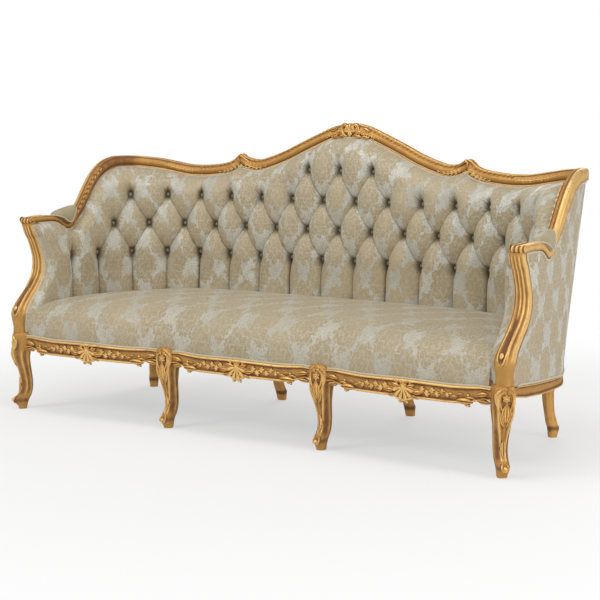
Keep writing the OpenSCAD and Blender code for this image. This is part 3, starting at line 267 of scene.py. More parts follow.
class Form:
    """The sofa's lines and surfaces in metres from its front foot line."""

    def __init__(self, sizes):
        self.s = sizes
        self.half, self.depth = sizes.width / 2, sizes.depth
        self.back_to_middle = sizes.depth / 2 + sizes.crest_thick / 2
        rows = np.array(GUIDE_SHARES)
        rows = np.vstack([rows[:0:-1] * [-1, 1, 1, -1, 1, -1, 1], rows])
        rise = sizes.crest_height - sizes.arm_height
        flat = rows[:, 0] * 0
        self.crest_line = np.column_stack([rows[:, 0] * self.half, rows[:, 1] * self.depth,
                                           sizes.arm_height + rows[:, 2] * rise])
        self.wall_line = np.column_stack([rows[:, 3] * self.half, rows[:, 4] * self.depth, flat])
        self.button_line = np.column_stack([rows[:, 5] * self.half, rows[:, 6] * self.depth, flat])
        self.places = np.linspace(-LAST_AT, LAST_AT, 2 * LAST_AT * PLACES_PER_ROW + 1)
        self.button_arc = self.arc(self.button_line)
        self.crest_arc = self.arc(self.crest_line)
        self.block_height = sizes.rail_height + BLOCK_LEAD
        self.rail_low = sizes.rail_height - sizes.rail_face
        self.tack = sizes.rail_height + TACK_LEAD
        self.roll_height = sizes.row * ROLL_SHARE
        self.front_legs = [(self.half * x, self.depth * y) for x, y in FRONT_PLACE_SHARES]
        corner, inner = REAR_PLACE_SHARES
        self.rear_legs = [(self.half * corner[0], self.depth - sizes.rear_block * corner[1]),
                          (self.half * inner[0], self.depth - sizes.rear_block * inner[1] - REAR_POST_IN)]
        self.stump_points()
        self.seat_lines()

    def arc(self, line):
        """Distances along a line at each place, from the middle of the back."""
        p = self.on(line, self.places)
        steps = np.linalg.norm(np.diff(p, axis=0), axis=1)
        arc = np.concatenate([[0], np.cumsum(steps)])
        return arc - arc[len(arc) // 2]

    def on(self, line, u):
        return spline(line, np.asarray(u, float) + LAST_AT)

    def crest(self, u):
        return self.on(self.crest_line, u)

    def crest_run(self, u):
        u = np.asarray(u, float)
        return unit(self.crest(u + 0.5) - self.crest(u - 0.5))

    def wall(self, u):
        return self.on(self.wall_line, u)

    def wall_run(self, u):
        u = np.asarray(u, float)
        return unit(self.wall(u + 0.05) - self.wall(u - 0.05))

    def fullness(self, u):
        return read(FULLNESS, np.abs(u))

    def face(self, u):
        return self.s.crest_face * read(FACE_FULLNESS, np.abs(u))

    def along(self, middle, distance):
        """The place that lies a distance along the show wood from another."""
        start = np.interp(middle, self.places, self.crest_arc)
        return np.interp(start + distance, self.crest_arc, self.places)

    def on_crest(self, u, across, up):
        """A place on the show wood: inwards of its line and above it."""
        run = self.crest_run(u)
        side = inward(run)
        top = np.cross(side, run)
        return self.crest(u) + side * np.asarray(across)[..., None] + top * np.asarray(up)[..., None]

    def wall_top(self, u):
        run = self.crest_run(u)
        return self.crest(u)[..., 2] - FACE_GAP - self.face(u) / np.hypot(run[..., 0], run[..., 1])

    def wall_point(self, u, z, depth):
        """A place on the walls: along the show wood, up, and in from the outside."""
        side = inward(self.wall_run(u))
        c = self.crest(u)
        high = c - side * (self.s.crest_thick * 0.30)
        low_z = self.s.rail_height
        f = np.maximum(0, (z - low_z) / (c[..., 2] - self.s.crest_face - low_z))
        p = blend(self.wall(u), high, np.asarray(f)[..., None])
        p[..., 2] = z
        return p + side * np.asarray(depth)[..., None]

    def way(self, u):
        """From the outside of the wall to the buttons, in plan."""
        w = self.on(self.button_line, u) - self.wall_point(u, np.full(np.shape(u), self.s.first_row),
                                                           np.zeros(np.shape(u)))
        w[..., 2] = 0
        return w

    def pad_point(self, u, z, depth):
        """A place in from the outside of a wall, towards its buttons."""
        return (self.wall_point(u, z, np.zeros(np.shape(u)))
                + unit(self.way(u)) * np.asarray(depth)[..., None])

    def slant(self, u):
        """How much longer the way to the buttons is than the way square to the wall."""
        return 1 / (unit(self.way(u)) * inward(self.wall_run(u))).sum(-1)

    def button_depth(self, u, z):
        return np.linalg.norm(self.way(u), axis=-1) + 0.05 * (z - self.s.first_row)

    def place(self, arc):
        """The place of a distance along the row of buttons."""
        return np.interp(arc, self.button_arc, self.places)

    def top_row(self, arc):
        top = self.wall_top(self.place(arc))
        k = np.floor((top - self.roll_height - self.s.first_row) / self.s.row)
        return np.clip(k, 0, BUTTON_ROWS - 1)

    def columns(self, k, reach=12):
        """Where a row could have buttons: every other row is shifted by half a pitch."""
        return (np.arange(-reach, reach + 1) + (0.5 if k % 2 == 0 else 0.0)) * self.s.pitch

    def has_button(self, arc, k):
        """Whether a row has a button at a place along it."""
        arc, z = np.abs(arc), self.s.first_row + self.s.row * k
        return (arc < self.end_arc(z) - self.s.pitch * 0.4) & (k <= self.top_row(arc))

    def row_share(self, arc, k):
        """How far a row of buttons reaches a place: 1 between its buttons, 0 past its last one."""
        columns = self.columns(k)
        share = np.interp(arc, columns, self.has_button(columns, k).astype(float))
        return ease((share - 0.15) / 0.7)

    def tuft(self, arc, z):
        """How full the cover is, from the bottom of a button's well to a diamond's crown."""
        p, q = arc / self.s.pitch, (z - self.s.first_row) / self.s.row
        a, b = p - 0.5 + q / 2, p - 0.5 - q / 2
        fa, fb = math.pi * to_nearest(a), math.pi * to_nearest(b)
        diamonds = (0.34 * np.sqrt(np.maximum(1 - np.cos(fa) * np.cos(fb), 0))
                    + 0.66 * (np.sin(fa) * np.sin(fb)) ** 0.40)

        def pleats(k, away):
            wave = np.sin(math.pi * to_nearest(p - 0.5 + k / 2))
            return blend(0.34 * wave + 0.66 * wave ** 0.80, 0.80 * wave ** 0.42, ease(away / 0.7))
        full = np.full(np.shape(diamonds), FLAT_FULL)
        well = np.zeros(np.shape(diamonds))
        for k in range(BUTTON_ROWS):
            above = blend(pleats(k, q - k), 0.62, 0.86 * ease((q - k) / 0.8))
            rows = np.where(q < 0, pleats(0, -q), np.where(q > k, above, diamonds))
            share = self.row_share(arc, k)
            full = blend(full, rows, share)
            # Each button is pulled deep into a narrow well, longer than it is wide
            dx = (p - np.round(p - 0.5 - k / 2) - 0.5 - k / 2) * self.s.pitch
            dz = (q - k) * self.s.row
            away = np.hypot(dx, dz * np.where(dz < 0, 0.55, 0.75))
            well = np.maximum(well, share * np.exp(-(away / 0.0135) ** 2))
            pull = np.cos(9 * np.arctan2(dz, dx)) * np.exp(-away / 0.024) * ease(away / 0.010)
            full = full + 0.040 * share * pull
        return full - 0.40 * well

    def roll(self, u, z):
        """How far the padding has swelled below the show wood, from 0 at its top."""
        f = np.clip((self.wall_top(u) - z) / self.roll_height, 0, 1)
        return np.sqrt(1 - (1 - f) ** 2)

    def cover_point(self, arc, z, lift=0.0):
        """The buttoned cover's face at a distance along the buttons and a height."""
        u = self.place(arc)
        r, rest = self.roll(u, z), COVER_REST * self.slant(u)
        depth = rest + (self.button_depth(u, z) - rest) * r + self.s.tuft * r * self.tuft(arc, z)
        return self.pad_point(u, z, depth + lift)

    def cover_back(self, u, z):
        return self.pad_point(u, z, (COVER_BACK + BACK_SWELL * self.roll(u, z)) * self.slant(u))

    def stump_points(self):
        s = np.array(STUMP_SHARES)
        x = self.crest_line[-1][0] - self.s.crest_thick * 0.1
        rise = self.s.arm_height - self.block_height
        self.stump_line = np.column_stack([x - self.s.stump * 0.15 * (1 - s[:, 1]), s[:, 0] * self.depth,
                                           self.block_height + s[:, 1] * rise])
        self.stump_full = s[:, 2:] * self.s.stump

    def end_place(self, z, share=0.55):
        """Where a panel of the arm ends by the stump: at a height, and a share of its depth behind it."""
        rows = self.stump_line[::-1]
        back = np.interp(z, rows[:, 2], rows[:, 1] + self.stump_full[::-1, 1] * share)
        c = self.crest_line[-1:LAST_AT + SHOULDER_AT - 1:-1]
        return np.interp(back, c[:, 1], np.arange(LAST_AT, SHOULDER_AT - 1, -1))

    def end_arc(self, z, share=0.75):
        return np.interp(self.end_place(z, share), self.places, self.button_arc)

    def arm_front(self, z, hand):
        """Where the inside cover meets the stump, and the leg block below it, at a height."""
        rows, full = self.stump_line[::-1], self.stump_full[::-1]
        x, y = (np.interp(z, rows[:, 2], rows[:, i]) for i in (0, 1))
        wide, deep = (np.interp(z, rows[:, 2], full[:, i]) for i in (0, 1))
        above = ease((z - self.block_height + 0.004) / 0.010)
        x = blend(self.leg_x()[2], x - wide / 2, above)
        return np.stack([hand * x, np.maximum(y - 0.12 * deep, -0.001), z], -1)

    def rolled_line(self, edge, goal):
        """Places from an arm's padded face round its front to the stump, and how far round each is."""
        turn = np.linspace(0, math.pi / 2, 18)[:, None]
        across, ahead = 1 - np.cos(turn) ** 0.5, np.sin(turn) ** 0.5
        columns = np.stack([blend(edge[:, 0], goal[:, 0], across), blend(edge[:, 1], goal[:, 1], ahead),
                            np.repeat(goal[None, :, 2], len(turn), 0)], -1)
        return columns, np.abs(edge[:, 1] - goal[:, 1]) * ahead + np.abs(edge[:, 0] - goal[:, 0]) * across

    def front_y(self, x):
        return read(FRONT_LINE_SHARES, np.abs(x) / self.half) * self.depth

    def leg_x(self):
        """Faces of the leg blocks: the inner leg's near and far one, and the corner's."""
        (corner, _), (inner, _) = self.front_legs
        b = self.s.block / 2
        return inner - b, inner + b, corner - b

    def side_ends(self):
        """Where a side rail starts and ends."""
        return self.front_legs[0][1] + self.s.block / 2, self.rear_legs[0][1]

    def outside_low(self, u):
        """The lower edge of the outside covers."""
        start, end = self.side_ends()
        share = (self.wall(u)[..., 1] - start) / (end - start)
        side = self.s.rail_height + read(SIDE_TOP_SHARES, share) * self.s.rail_face + 2 * SKIN_GAP
        back = np.where(np.abs(u) < SHOULDER_AT - 1.6, self.rail_low, self.s.rail_height) + SKIN_GAP
        return np.where(np.abs(u) < SHOULDER_AT + 1, back, side)

    def bay_share(self, x):
        """How far a place on the front is from the middle of its bay, to 1 at its end."""
        near, far, corner = self.leg_x()
        x = np.abs(x)
        side = np.abs(x - (far + corner) / 2) * 2 / (corner - far)
        return np.minimum(1, np.where(x < near + self.s.block / 2, x / near, side))

    def front_high(self, x):
        return self.s.rail_height + read(APRON_TOP_SHARES, self.bay_share(x)) * self.s.rail_face * 0.4

    def front_low(self, x):
        return self.rail_low + read(APRON_LOW_SHARES, self.bay_share(x)) * self.s.rail_face

    def seat_lines(self):
        """The seat's edges along the padded back and arms, and its front corner by the stump."""
        u = np.arange(0, LAST_AT - 0.5, 0.5)
        z = np.full(u.shape, self.s.seat_height)
        edge = self.pad_point(u, z, self.button_depth(u, z) + self.s.tuft * 0.70 + CLOTH_GAP)
        self.seat_back = edge[u <= TURN_AT]
        self.seat_side = edge[u >= TURN_AT][::-1]
        self.seat_end = self.seat_side[:, 0].min()
        z = np.array([blend(self.s.rail_height, self.s.seat_height, 0.6)])
        padded = self.cover_point(self.end_arc(z, COVER_END_SHARE), z)
        column = self.rolled_line(padded, self.arm_front(z, 1))[0][::-1, 0]
        block_gap = 0.008
        column[:, 0] = np.minimum(column[:, 0], self.leg_x()[2] - block_gap)
        self.seat_side = np.vstack([column, self.seat_side[self.seat_side[:, 1] > column[-1, 1]]])

    def flared(self, p):
        """Points of the seat spread sideways to follow the arms."""
        f = np.interp(p[..., 1], self.seat_side[:, 1], self.seat_side[:, 0]) / self.seat_end - 1
        p = p.copy()
        p[..., 0] *= 1 + f * (np.abs(p[..., 0]) / self.seat_end) ** 3
        return p

    def pillar(self, top, out, height, width, shares, splay=0.0, count=64):
        """Rings' middles, ways and half sizes down a leg, with the share of its height."""
        s = spline(np.array(shares), np.linspace(0, len(shares) - 1, count))
        away = s[:, 1] + splay * (1 - s[:, 0]) ** 2
        out = np.array([out[0], out[1], 0]) / math.hypot(*out)
        middle = np.array([top[0], top[1], 0]) + out * (away * width)[:, None]
        middle[:, 2] = s[:, 0] * height
        return {"share": s[:, 0], "middle": middle, "out": out, "side": np.cross([0, 0, 1], out),
                "deep": width * s[:, 2] / 2, "wide": width * s[:, 3] / 2}


# Meshes

class Shape:
    """A mesh in the making: points, faces, how far each point stands out, and its cloth place."""

    def __init__(self):
        self.points, self.faces, self.relief, self.cloth, self.count = [], [], [], [], 0

    def tube(self, grid, relief, cloth=None):
        """A surface through rings of points, closed round and at its ends."""
        grid = np.asarray(grid, float)
        n, m = grid.shape[:2]
        i, j = np.meshgrid(np.arange(n - 1), np.arange(m), indexing="ij")
        a, b = (i * m + j).ravel(), (i * m + (j + 1) % m).ravel()
        faces = np.column_stack([a, b, b + m, a + m]).tolist()
        faces += [list(range(m - 1, -1, -1)), list(range((n - 1) * m, n * m))]
        self.points.append(grid.reshape(-1, 3))
        self.faces += [[k + self.count for k in face] for face in faces]
        self.relief.append(np.broadcast_to(relief, (n, m)).ravel())
        self.cloth.append(np.zeros((n * m, 3)) if cloth is None else cloth.reshape(-1, 3))
        self.count += n * m
        return self

    def build(self, name, form, finish, smooth=math.radians(50)):
        """Makes the object, in the CAD model's frame, and lets it ride on the body."""
        points = np.vstack(self.points)
        points[:, 1] -= form.back_to_middle
        mesh = bpy.data.meshes.new(name)
        mesh.from_pydata(points.tolist(), [], self.faces)
        relief = mesh.attributes.new("relief", "FLOAT", "POINT")
        relief.data.foreach_set("value", np.concatenate(self.relief).astype(np.float32))
        cloth = mesh.attributes.new("cloth", "FLOAT_VECTOR", "POINT")
        cloth.data.foreach_set("vector", np.vstack(self.cloth).astype(np.float32).ravel())
        bm = bmesh.new()
        bm.from_mesh(mesh)
        bmesh.ops.recalc_face_normals(bm, faces=bm.faces)
        bm.to_mesh(mesh)
        bm.free()
        mesh.shade_smooth()
        mesh.set_sharp_from_angle(angle=smooth)
        mesh.materials.append(finish)
        obj = bpy.data.objects.new(name, mesh)
        bpy.context.scene.collection.objects.link(obj)
        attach(obj, BODY)
        return obj


def squircle(angle, power):
    """A ring between an ellipse and a block."""
    c, s = np.cos(angle), np.sin(angle)
    r = (np.abs(c) ** power + np.abs(s) ** power) ** (-1 / power)
    return c * r, s * r


# Carving: tapered lobes laid on a surface. A lobe is a path across and up, its half width,
# its height and how deep its vein is.

LEAF_WIDTH = ((0, 0.30), (0.15, 0.62), (0.40, 1.0), (0.65, 0.92), (0.85, 0.55), (1, 0.06))
STEM_WIDTH = ((0, 1.0), (0.5, 0.85), (1, 0.35))
RIM_WIDTH = ((0, 0.35), (0.2, 0.9), (0.5, 1.0), (0.8, 0.9), (1, 0.35))
HOOK_WIDTH = ((0, 0.3), (0.25, 0.8), (0.5, 1.0), (0.8, 0.8), (1, 0.5))
PETAL_WIDTH = ((0, 0.30), (0.5, 0.66), (0.8, 1), (0.93, 0.85), (1, 0.3))
BALL_WIDTH = ((0, 0.05), (0.12, 0.62), (0.3, 0.92), (0.5, 1), (0.7, 0.92), (0.88, 0.62), (1, 0.05))
# A lobe's section: share of its half width across, of its height up, and how bright it is
LOBE_OUTLINE = (
    (-1.0, 0.04, 0.0), (-0.93, 0.40, 0.35), (-0.70, 0.78, 0.9), (-0.36, 1.0, 1.0), (0, 1.0, 1.0),
    (0.36, 1.0, 1.0), (0.70, 0.78, 0.9), (0.93, 0.40, 0.35), (1.0, 0.04, 0.0),
)


def turned_path(x, y, angle, length, curl, count=7):
    """A path that starts one way and turns by curl on its way."""
    t = np.linspace(0, 1, count)
    way = angle + curl * t
    step = length / (count - 1)
    dx = np.concatenate([[0], np.cumsum(np.cos((way[1:] + way[:-1]) / 2) * step)])
    dy = np.concatenate([[0], np.cumsum(np.sin((way[1:] + way[:-1]) / 2) * step)])
    return np.column_stack([x + dx, y + dy])


def leaf(x, y, angle, length, curl=0.0, width=0.20, height=0.30, vein=0.45):
    """A leaf with a vein, whose width and height are shares of its length."""
    return [(turned_path(x, y, angle, length, curl), LEAF_WIDTH, width * length, height * length, vein)]


def ball(x, y, r, height=1.0):
    """A berry."""
    return [(np.array([[x - r, y], [x, y], [x + r, y]]), BALL_WIDTH, r, r * height, 0)]


def scroll(x, y, angle, size, hand=1, turn=4.4, width=0.16):
    """A C-scroll: a rim that winds in to a ball."""
    t = np.linspace(0, 1, 15)
    way = angle + hand * turn * t ** 1.25
    step = size * 0.22 * (1 - 0.72 * t)
    path = np.column_stack([x + np.cumsum(np.cos(way) * step), y + np.cumsum(np.sin(way) * step)])
    path -= path[0] - [x, y]
    return [(path, RIM_WIDTH, width * size, 0.20 * size, 0.35)] + ball(*path[-1], 0.16 * size)


def spray(x, y, angle, length, hand=1, leaves=5, curl=0.6, reach=0.020):
    """A spray: a stem with pairs of rounded leaves that get smaller to its tip, and berries."""
    stem = turned_path(x, y, angle, length, curl * hand, 9)
    parts = [(stem, STEM_WIDTH, 0.0024, 0.0040, 0)]
    for i in range(leaves):
        f = 0.04 + 0.90 * i / leaves
        p = spline(stem, np.array([f * 8]))[0]
        way = angle + curl * hand * f
        for side in (-1, 1):
            size = reach * (1 - 0.42 * f) * (1 if side == hand else 0.82)
            start = p + side * 0.0015 * np.array([-math.sin(way), math.cos(way)])
            parts += leaf(*start, way + side * 0.80, size, -side * 0.9, width=0.29, height=0.24, vein=0.25)
            if i % 2:
                tip = p + 0.62 * size * np.array([math.cos(way + side * 1.25), math.sin(way + side * 1.25)])
                parts += ball(*tip, 0.0026)
    return parts + leaf(*stem[-1], angle + curl * hand, reach * 0.7, 0, 0.28, 0.24, 0.2)


def vine(x, y, angle, length, nodes=6, reach=0.020):
    """A waving stem with tufts of leaves to either side and a berry by each."""
    t = np.linspace(0, 1, 4 * nodes + 1)
    turn = np.array([[math.cos(angle), math.sin(angle)], [-math.sin(angle), math.cos(angle)]])
    stem = [x, y] + np.column_stack([t * length, 0.0030 * np.sin(math.pi * nodes * t)]) @ turn
    parts = [(stem, STEM_WIDTH, 0.0019, 0.0034, 0)]
    for i in range(nodes):
        side, size = 1 - 2 * (i % 2), reach * (1 - 0.30 * i / nodes)
        p = stem[4 * i + 2]
        for way, share in ((1.15, 0.95), (0.45, 1.0), (-0.30, 0.8), (-1.05, 0.7)):
            parts += leaf(*p, angle + side * way, size * share, -side * way * 0.7, 0.25, 0.27, 0.2)
        tip = p + 0.60 * size * np.array([math.cos(angle - side * 1.9), math.sin(angle - side * 1.9)])
        parts += ball(*tip, 0.0030)
    return parts + leaf(*stem[-1], angle, reach * 0.7, 0.4, 0.30, 0.26, 0.2)


def fan(x, y, angle, radius, count=6, spread=2.5, width=0.17):
    """A shell: petals that spread from a foot, the middle ones longest."""
    parts = []
    for i in range(count):
        way = angle + spread * (i / (count - 1) - 0.5)
        size = radius * (1 - 0.16 * abs(2 * i / (count - 1) - 1))
        parts.append((turned_path(x, y, way, size, 0), PETAL_WIDTH, width * radius, 0.19 * radius, 0.0))
    return parts + ball(x, y, radius * 0.16)


def rosette(x, y, r, count=5):
    """A flower seen from above."""
    parts = []
    for i in range(count):
        parts += leaf(x, y, math.pi / 2 + 2 * math.pi * i / count, r, 0, width=0.36, height=0.34, vein=0.3)
    return parts + ball(x, y, r * 0.30, 1.5)


def mirrored(parts):
    """The lobes, and the same again to the other side."""
    return parts + [(p[0] * [-1, 1], *p[1:]) for p in parts]


def carve(shape, parts, place, shade_skirt=0.0011, sink=0.0012):
    """Lays the lobes on the surface that place gives for across, up and out.

    Each lobe stands in a narrow line of clay colour, partly bare clay and partly painted shade round its
    foot.
    """
    outline = np.array(LOBE_OUTLINE)
    for path, widths, width, height, vein in parts:
        n = len(path)
        count = 7 if n <= 3 else 10 if n <= 9 else 22
        t = np.linspace(0, 1, count)
        p = spline(path, t * (n - 1))
        run = np.gradient(p, axis=0)
        run /= np.maximum(np.linalg.norm(run, axis=1, keepdims=True), 1e-9)
        side = np.column_stack([-run[:, 1], run[:, 0]])
        w = read(widths, t) * width
        h = np.minimum(read(widths, t) ** 0.7 * height, 0.9 * np.maximum(w, width * 0.3) + height * 0.3)
        groove = vein * np.exp(-(outline[:, 0] / 0.2) ** 2)
        # The skirt to either side takes the clay colour: painted shade round the lobe's foot
        across = np.hstack([-w[:, None] - shade_skirt, w[:, None] * outline[:, 0], w[:, None] + shade_skirt])
        up = np.concatenate([[0], outline[:, 1] * (1 - groove), [0]])
        bright = np.concatenate([[0], np.clip(outline[:, 2] - groove * 1.2, 0, 1), [0]])
        out = h[:, None] * up
        out[:, [0, -1]] = -sink
        flat = p[:, None, :] + side[:, None, :] * across[..., None]
        grid = place(flat[..., 0], flat[..., 1], out)
        shape.tube(grid, relief=bright * np.clip(h[:, None] / 0.0012, 0, 1))


# Finishes

class Value:
    """A shader socket that takes part in Python sums."""

    def __init__(self, finish, socket):
        self.finish, self.socket = finish, socket

    def maths(self, operation, *others, clamp=False):
        return self.finish.node("ShaderNodeMath", {"operation": operation, "use_clamp": clamp},
                                {i: v for i, v in enumerate((self,) + others)})

    def __add__(self, other):
        return self.maths("ADD", other)

    def __sub__(self, other):
        return self.maths("SUBTRACT", other)

    def __mul__(self, other):
        return self.maths("MULTIPLY", other)

    def __truediv__(self, other):
        return self.maths("DIVIDE", other)

    def __rsub__(self, other):
        return (self * -1) + other

    def __rtruediv__(self, other):
        return self ** -1 * other

    def __pow__(self, other):
        return self.maths("POWER", other)

    __radd__, __rmul__ = __add__, __mul__

    def sin(self):
        return self.maths("SINE")

    def cos(self):
        return self.maths("COSINE")

    def size(self):
        return self.maths("ABSOLUTE")

    def nearest(self):
        return self.maths("ROUND")

    def most(self, other):
        return self.maths("MAXIMUM", other)

    def below(self, other):
        return self.maths("LESS_THAN", other)

    def held(self):
        """Kept between 0 and 1."""
        return self.maths("ADD", 0.0, clamp=True)

    def off_whole(self):
        """How far it is past the nearest whole number."""
        return self - self.nearest()

    def line(self, low, high):
        """1 where it is zero, and 0 from there to either side, with a soft edge."""
        return 1 - self.size().step(low, high)

    def output(self, name):
        """Another output of the same node."""
        return Value(self.finish, self.socket.node.outputs[name])

    def step(self, low, high):
        """0 below low and 1 above high, with a soft edge between them."""
        return self.finish.node("ShaderNodeMapRange", {"interpolation_type": "SMOOTHSTEP"},
                                {"Value": self, "From Min": low, "From Max": high})


class Finish:
    """A material made of nodes, with one shader."""

    def __init__(self, name, **constants):
        self.material = bpy.data.materials.new(name)
        self.material.use_nodes = True
        self.tree = self.material.node_tree
        self.shader = next(n for n in self.tree.nodes if n.type == "BSDF_PRINCIPLED")
        for key, value in constants.items():
            self.shader.inputs[key.replace("_", " ")].default_value = value

    def node(self, kind, settings=None, sockets=None, out=0):
        """Adds a node: its settings first, then the values or links of its sockets."""
        node = self.tree.nodes.new(kind)
        for key, value in (settings or {}).items():
            setattr(node, key, value)
        for key, value in (sockets or {}).items():
            socket = node.inputs[key]
            if isinstance(value, Value):
                self.tree.links.new(value.socket, socket)
            else:
                socket.default_value = value
        return Value(self, node.outputs[out])

    def attribute(self, name, out="Fac"):
        return self.node("ShaderNodeAttribute", {"attribute_name": name}, out=out)

    def position(self):
        return self.node("ShaderNodeTexCoord", out="Object")

    def noise(self, scale, detail, vector=None):
        return self.node("ShaderNodeTexNoise", None, {"Vector": vector or self.position(), "Scale": scale,
                                                     "Detail": detail, "Roughness": 0.55})

    def mix(self, factor, a, b):
        return self.node("ShaderNodeMix", {"data_type": "RGBA"}, {"Factor": factor, 6: a, 7: b}, out=2)

    def bump(self, height, distance, strength):
        return self.node("ShaderNodeBump", None,
                         {"Height": height, "Distance": distance, "Strength": strength})

    def shade(self, **values):
        """Links values to the shader's sockets and gives the material."""
        for key, value in values.items():
            self.tree.links.new(value.socket, self.shader.inputs[key.replace("_", " ")])
        return self.material


def tone(colour, by):
    """A colour made brighter or darker."""
    return (colour[0] * by, colour[1] * by, colour[2] * by, 1)


def gilding(name, colours, plain=0.0):
    """Gold leaf over red-brown clay: bright on the ridges, toned on the flats, clay in the hollows."""
    f = Finish(name)
    relief, worn, fine = f.attribute("relief"), f.noise(38, 4), f.noise(260, 3)
    height = relief + (worn - 0.5) * 0.50 + (fine - 0.5) * 0.24 - plain * 0.05
    leaf_there = height.step(0.08, 0.50)
    rubbed = (worn + fine * 0.35).step(0.76, 0.88) * relief.step(0.75, 1.0) * 0.55
    dim, clear = tone(colours.old_gold, 0.82 + 0.28 * plain), tone(colours.old_gold, 1.2 + 0.40 * plain)
    flat = f.mix(f.noise(9, 2), dim, clear)
    gold = f.mix(height.step(0.62, 1.0) * (1 - plain * 0.45), flat, tone(colours.gold, 1))
    colour = f.mix(leaf_there * (1 - rubbed), tone(colours.bole, 1), gold)
    metal = leaf_there * (1 - rubbed) * 0.58 + 0.06
    rough = 0.60 - height.step(0.45, 1.0) * 0.20 + fine * 0.08
    return f.shade(Base_Color=colour, Metallic=metal, Roughness=rough,
                   Normal=f.bump(fine * 0.4 + worn, 0.0012, 0.5))


def damask(name, ground, figure, repeat=(0.138, 0.212), show=1.0):
    """Damask: leafy medallions, half-drop, on a silvery satin ground that shows in uneven patches.

    The repeat is how far apart the medallions are, across and up.

    Where it is buttoned, the button wells and the creases between the buttons are darkened with painted
    shade, the creases as thin dark lines.
    """
    f = Finish(name, Sheen_Weight=0.12, Sheen_Roughness=0.4, Specular_IOR_Level=0.4, Coat_Roughness=0.34)
    across = f.node("ShaderNodeSeparateXYZ", None, {0: f.attribute("cloth", "Vector")})
    up = across.output("Y")
    u, v = across / repeat[0], up / repeat[1]
    a, b = u.off_whole(), v.off_whole()
    a2, b2 = (u - 0.5).off_whole(), (v - 0.5).off_whole()
    other = (a2.size() + b2.size()).below(a.size() + b.size())
    wide, tall = (a + (a2 - a) * other).size(), b + (b2 - b) * other
    angle = f.node("ShaderNodeMath", {"operation": "ARCTAN2"}, {0: wide, 1: tall})
    soft, broad, wear = f.noise(5, 2), f.noise(13, 2), f.noise(44, 3)
    curl, lace = f.noise(88, 3), f.noise(150, 2)
    leafy = ((angle * 9).cos() * 0.024 + (angle * 23).sin() * 0.016
             + (wide * 42).sin() * (tall * 36).cos() * 0.022 + (tall * (4 * math.pi)).cos() * 0.020)
    away = (wide * wide + tall * tall) ** 0.5
    edge = ((wide + tall.size()) * 0.40 + away * 0.80 + leafy * 1.25
            + (broad - 0.5) * 0.36 + (wear - 0.5) * 0.30)
    patches = edge.step(0.408, 0.444)
    sprigs = ((u * 58 + (v * 41).sin() * 2).sin() * (v * 66 + (u * 37).cos() * 1.6).cos()).step(0.30, 0.55)
    stems = (curl - 0.5).line(0.014, 0.050)
    heart = (away - 0.17 - (angle * 6).cos() * 0.040).line(0.008, 0.022)
    petals = heart.most((away - 0.30 - (angle * 10).sin() * 0.030).line(0.006, 0.018))
    silver = (patches * (1 - sprigs * 0.65) * show).most(stems * lace.step(0.34, 0.56) * 0.52)
    silver = silver.most(petals * 0.48)
    silver = (silver * (0.60 + wear * 0.6) + (lace - 0.5) * 0.55).held()
    thread = 2900
    warp, weft = (up * thread).sin() * 0.5 + 0.5, (across * thread).sin() * 0.5 + 0.5
    weave = warp * (1 - silver) + weft * silver
    back = f.mix(soft.step(0.35, 0.65), tone(ground, 0.92), tone(ground, 1.10))
    front = f.mix(soft.step(0.3, 0.7), tone(figure, 1.06), tone(figure, 0.94))
    colour = f.mix(silver, front, back)
    colour = f.mix(weave * 0.12, colour, tone(figure, 0.45))
    # Painted shade: the cloth turns dark brown deep in the button wells, where it is least full
    full = f.attribute("relief")
    well_shade = (figure[0] * 0.20, figure[1] * 0.18, figure[2] * 0.12, 1)
    colour = f.mix(full.step(-0.20, 0.46), well_shade, colour)
    # Painted shade: thin dark lines along the diagonal creases between the buttons, where the cloth is less
    # full
    sizes = bpy.context.scene.sofa_sizes
    along, rise = across / sizes.pitch - 0.5, ((up - sizes.first_row) / (2 * sizes.row)).most(0.0)
    crease_shade_lines = [way.off_whole().line(0.003, 0.017) for way in (along + rise, along - rise)]
    crease_shade = crease_shade_lines[0].most(crease_shade_lines[1]) * (1 - full.step(0.34, 0.62))
    colour = f.mix(crease_shade * 0.62, colour, tone(figure, 0.26))
    rough = 0.58 - silver * 0.22 + wear * 0.08
    relief = silver * -0.4 + weave * 0.10 + f.noise(34, 3) * 0.5
    return f.shade(Base_Color=colour, Roughness=rough, Coat_Weight=silver * 0.22,
                   Normal=f.bump(relief, 0.0009, 0.6))


def plain_cloth(name, colour, roughness=0.5, sheen=0.2, thread=2200.0, depth=0.0006):
    """A plain woven cloth whose threads cross and whose colour drifts a little."""
    f = Finish(name, Sheen_Weight=sheen)
    across = f.node("ShaderNodeSeparateXYZ", None, {0: f.position()})
    weave = (across * thread).sin() * (across.output("Z") * thread).cos() * 0.5 + 0.5
    drift, fine = f.noise(14, 3), f.noise(240, 2)
    shade = f.mix(drift.step(0.3, 0.7), tone(colour, 0.88), tone(colour, 1.12))
    shade = f.mix(weave * 0.18 + fine * 0.12, shade, tone(colour, 0.5))
    return f.shade(Base_Color=shade, Roughness=drift * 0.12 + roughness - 0.06,
                   Normal=f.bump(weave * 0.5 + fine * 0.5 + drift, depth, 0.6))


def braid(name, colour):
    """Gimp: looped cream threads, with painted shade between the loops."""
    f = Finish(name, Sheen_Weight=0.2)
    loops, fine = f.attribute("relief"), f.noise(420, 2)
    # Painted shade: the colour darkens where the loops dip between one another
    shade = f.mix((loops * 0.8 + fine * 0.3).step(0.2, 0.8), tone(colour, 0.55), tone(colour, 1.1))
    return f.shade(Base_Color=shade, Roughness=0.72 - fine * 0.1, Normal=f.bump(fine + loops, 0.0006, 0.6))


